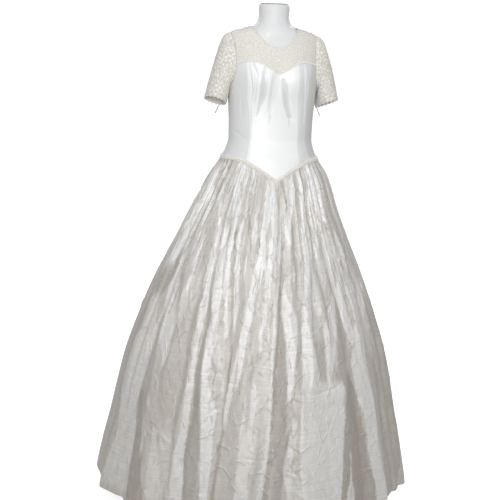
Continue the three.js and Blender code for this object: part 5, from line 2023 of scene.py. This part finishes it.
        # Painted light, brighter at the waist and darker towards the hem.
        painted_fall_to_hem = self.painted_waist_highlight + (self.painted_hem_shade - self.painted_waist_highlight) * smoothstep(drop, 100.0, 700.0)
        return np.clip(relief.painted_light * even + gathered + painted_fall_to_hem, -1.0, 1.0)

    def shape(self, low: float, high: float, columns: int, rows: int) -> tuple[Array, Array]:
        """Gives a panel's points and its painted highlight and shade.

        Args:
            low: Turn of its first edge.
            high: Turn of its other edge.
            columns: Points across.
            rows: Points from hem to waist.

        Returns:
            Rows of points in millimetres, and the painted light of each point from -1 to 1.
        """
        rise = 1 - (1 - np.linspace(0.0, 1.0, rows)) ** self.row_crowding
        turn, up = np.meshgrid(np.linspace(low, high, columns), rise)
        seam = self.lines.waist(turn) - self.seam_gap
        height = self.hem + (seam - self.hem) * up
        drop = seam - height
        plain, outward = self.ellipse(turn, height)
        step = np.gradient(turn, axis=1)[..., None]
        pitch = np.linalg.norm((np.gradient(plain, axis=1) / step)[..., :2], axis=-1)
        relief = Relief(turn, height, drop, pitch, self.painted_edge_ragged, self.painted_edge_soft)
        waves = self.gather_waves(turn, drop)
        sewn = self.lines.figure.surface(height, turn)
        points = sewn + (plain - sewn) * smoothstep(drop, 0.0, self.seam_blend)[..., None]
        stand = self.creased(relief, plain, outward) - self.sunk(turn, drop, waves) + self.wall
        return points + outward * stand[..., None], self.painted_light_of(relief, waves)

    def build(self) -> None:
        for node, low, high, columns, rows in self.panels:
            points, painted_light = self.shape(low, high, columns, rows)
            piece = shell(f"{node}_taffeta", points, laid_flat(points))
            keep_painted_light(piece, painted_light)
            finish_piece(piece, self.wardrobe.taffeta, (node,))


@dataclass
class Studio:
    """The camera, the lights and the plain pale floor."""

    azimuth: float = -11.5
    distance: float = 3.35
    height: float = 1.45
    pitch_down: float = 9.8
    roll: float = 2.0
    lens: float = 75.6
    sensor: float = 36.0
    shift: float = -0.032
    floor_radius: float = 9.0
    floor_corners: int = 64

    def build_camera(self) -> None:
        """Sets the camera at the photograph's viewing angle."""
        data = bpy.data.cameras.new("camera")
        data.lens, data.sensor_width, data.shift_x = self.lens, self.sensor, self.shift
        camera = add_object("camera", data)
        heading, tilt = math.radians(self.azimuth), math.radians(90.0 - self.pitch_down)
        place = Vector((math.sin(heading) * self.distance, -math.cos(heading) * self.distance, self.height))
        turn = Matrix.Rotation(heading, 4, "Z") @ Matrix.Rotation(tilt, 4, "X")
        turn = turn @ Matrix.Rotation(math.radians(self.roll), 4, "Z")
        camera.matrix_world = Matrix.Translation(place) @ turn
        bpy.context.scene.camera = camera

    @staticmethod
    def add_light(name: str, place: tuple[float, float, float], target: tuple[float, float, float],
                  size: float, power: float, spread: float = 180.0) -> None:
        """Adds a square soft light.

        Args:
            name: The light's name.
            place: Its place.
            target: The point that it faces.
            size: Its side in metres.
            power: Its power in watts.
            spread: Degrees of its beam.
        """
        data = bpy.data.lights.new(name, "AREA")
        data.size, data.energy, data.spread = size, power, math.radians(spread)
        light = add_object(name, data)
        light.location = place
        light.rotation_euler = (Vector(target) - Vector(place)).to_track_quat("-Z", "Y").to_euler()

    def build(self) -> None:
        """Sets the lights, the white surroundings and the floor."""
        self.add_light("key_light", (-0.80, -3.4, 1.70), (0.0, 0.0, 1.30), 0.6, 15.0, 95.0)
        self.add_light("ceiling_lamp", (-0.2, -0.95, 3.3), (0.0, 0.0, 1.4), 0.14, 5.0)
        self.add_light("back_light", (1.6, 3.2, 2.2), (0.0, 0.0, 0.8), 1.0, 40.0)
        world = bpy.data.worlds.new("white_room")
        world.use_nodes = True
        book = NodeBook(world.node_tree)
        background = world.node_tree.nodes["Background"].inputs
        background["Color"].default_value = (1.0, 1.0, 1.0, 1.0)
        seen = book.add("ShaderNodeLightPath").outputs["Is Camera Ray"]
        sky = book.add("ShaderNodeSeparateXYZ", {0: book.add("ShaderNodeTexCoord").outputs["Generated"]})
        soft = book.math("MULTIPLY_ADD", book.ramp(sky.outputs[2], -0.6, 0.6), 0.52, 0.12)
        book.link(book.math("MAXIMUM", book.math("MULTIPLY", seen, 1.1), soft), background["Strength"])
        bpy.context.scene.world = world
        bpy.context.scene.view_settings.view_transform = "Standard"
        self.build_floor()

    def build_floor(self) -> None:
        """Makes the pale floor."""
        angles = [2 * math.pi * i / self.floor_corners for i in range(self.floor_corners)]
        ring = [(self.floor_radius * math.cos(a), self.floor_radius * math.sin(a), 0.0) for a in angles]
        mesh = bpy.data.meshes.new("floor")
        mesh.from_pydata(ring, [], [tuple(range(self.floor_corners))])
        floor = add_object("floor", mesh)
        material = bpy.data.materials.new("pale_floor")
        material.use_nodes = True
        shader = material.node_tree.nodes["Principled BSDF"].inputs
        shader["Base Color"].default_value = (0.62, 0.61, 0.60, 1.0)
        shader["Roughness"].default_value = 0.9
        shader["Emission Color"].default_value = (1.0, 1.0, 1.0, 1.0)
        book = NodeBook(material.node_tree)
        seen = book.add("ShaderNodeLightPath").outputs["Is Camera Ray"]
        book.link(book.math("MULTIPLY", seen, 0.75), shader["Emission Strength"])
        mesh.materials.append(material)


def main() -> None:
    """Builds the dress, its form and the studio."""
    logging.basicConfig(level=logging.INFO, format="%(name)s: %(message)s")
    lines = PatternLines(Figure())
    studio = Studio()
    studio.build_camera()
    wardrobe = Wardrobe()
    motifs = Motifs()
    for side in SIDES:
        Sleeve(lines, wardrobe, motifs, side).build()
    for part in (DressForm, Bodice, Yoke, Braids, Buttons, Skirt):
        part(lines, wardrobe, motifs).build()
    motifs.clear()
    studio.build()


if __name__ == "__main__":
    main()
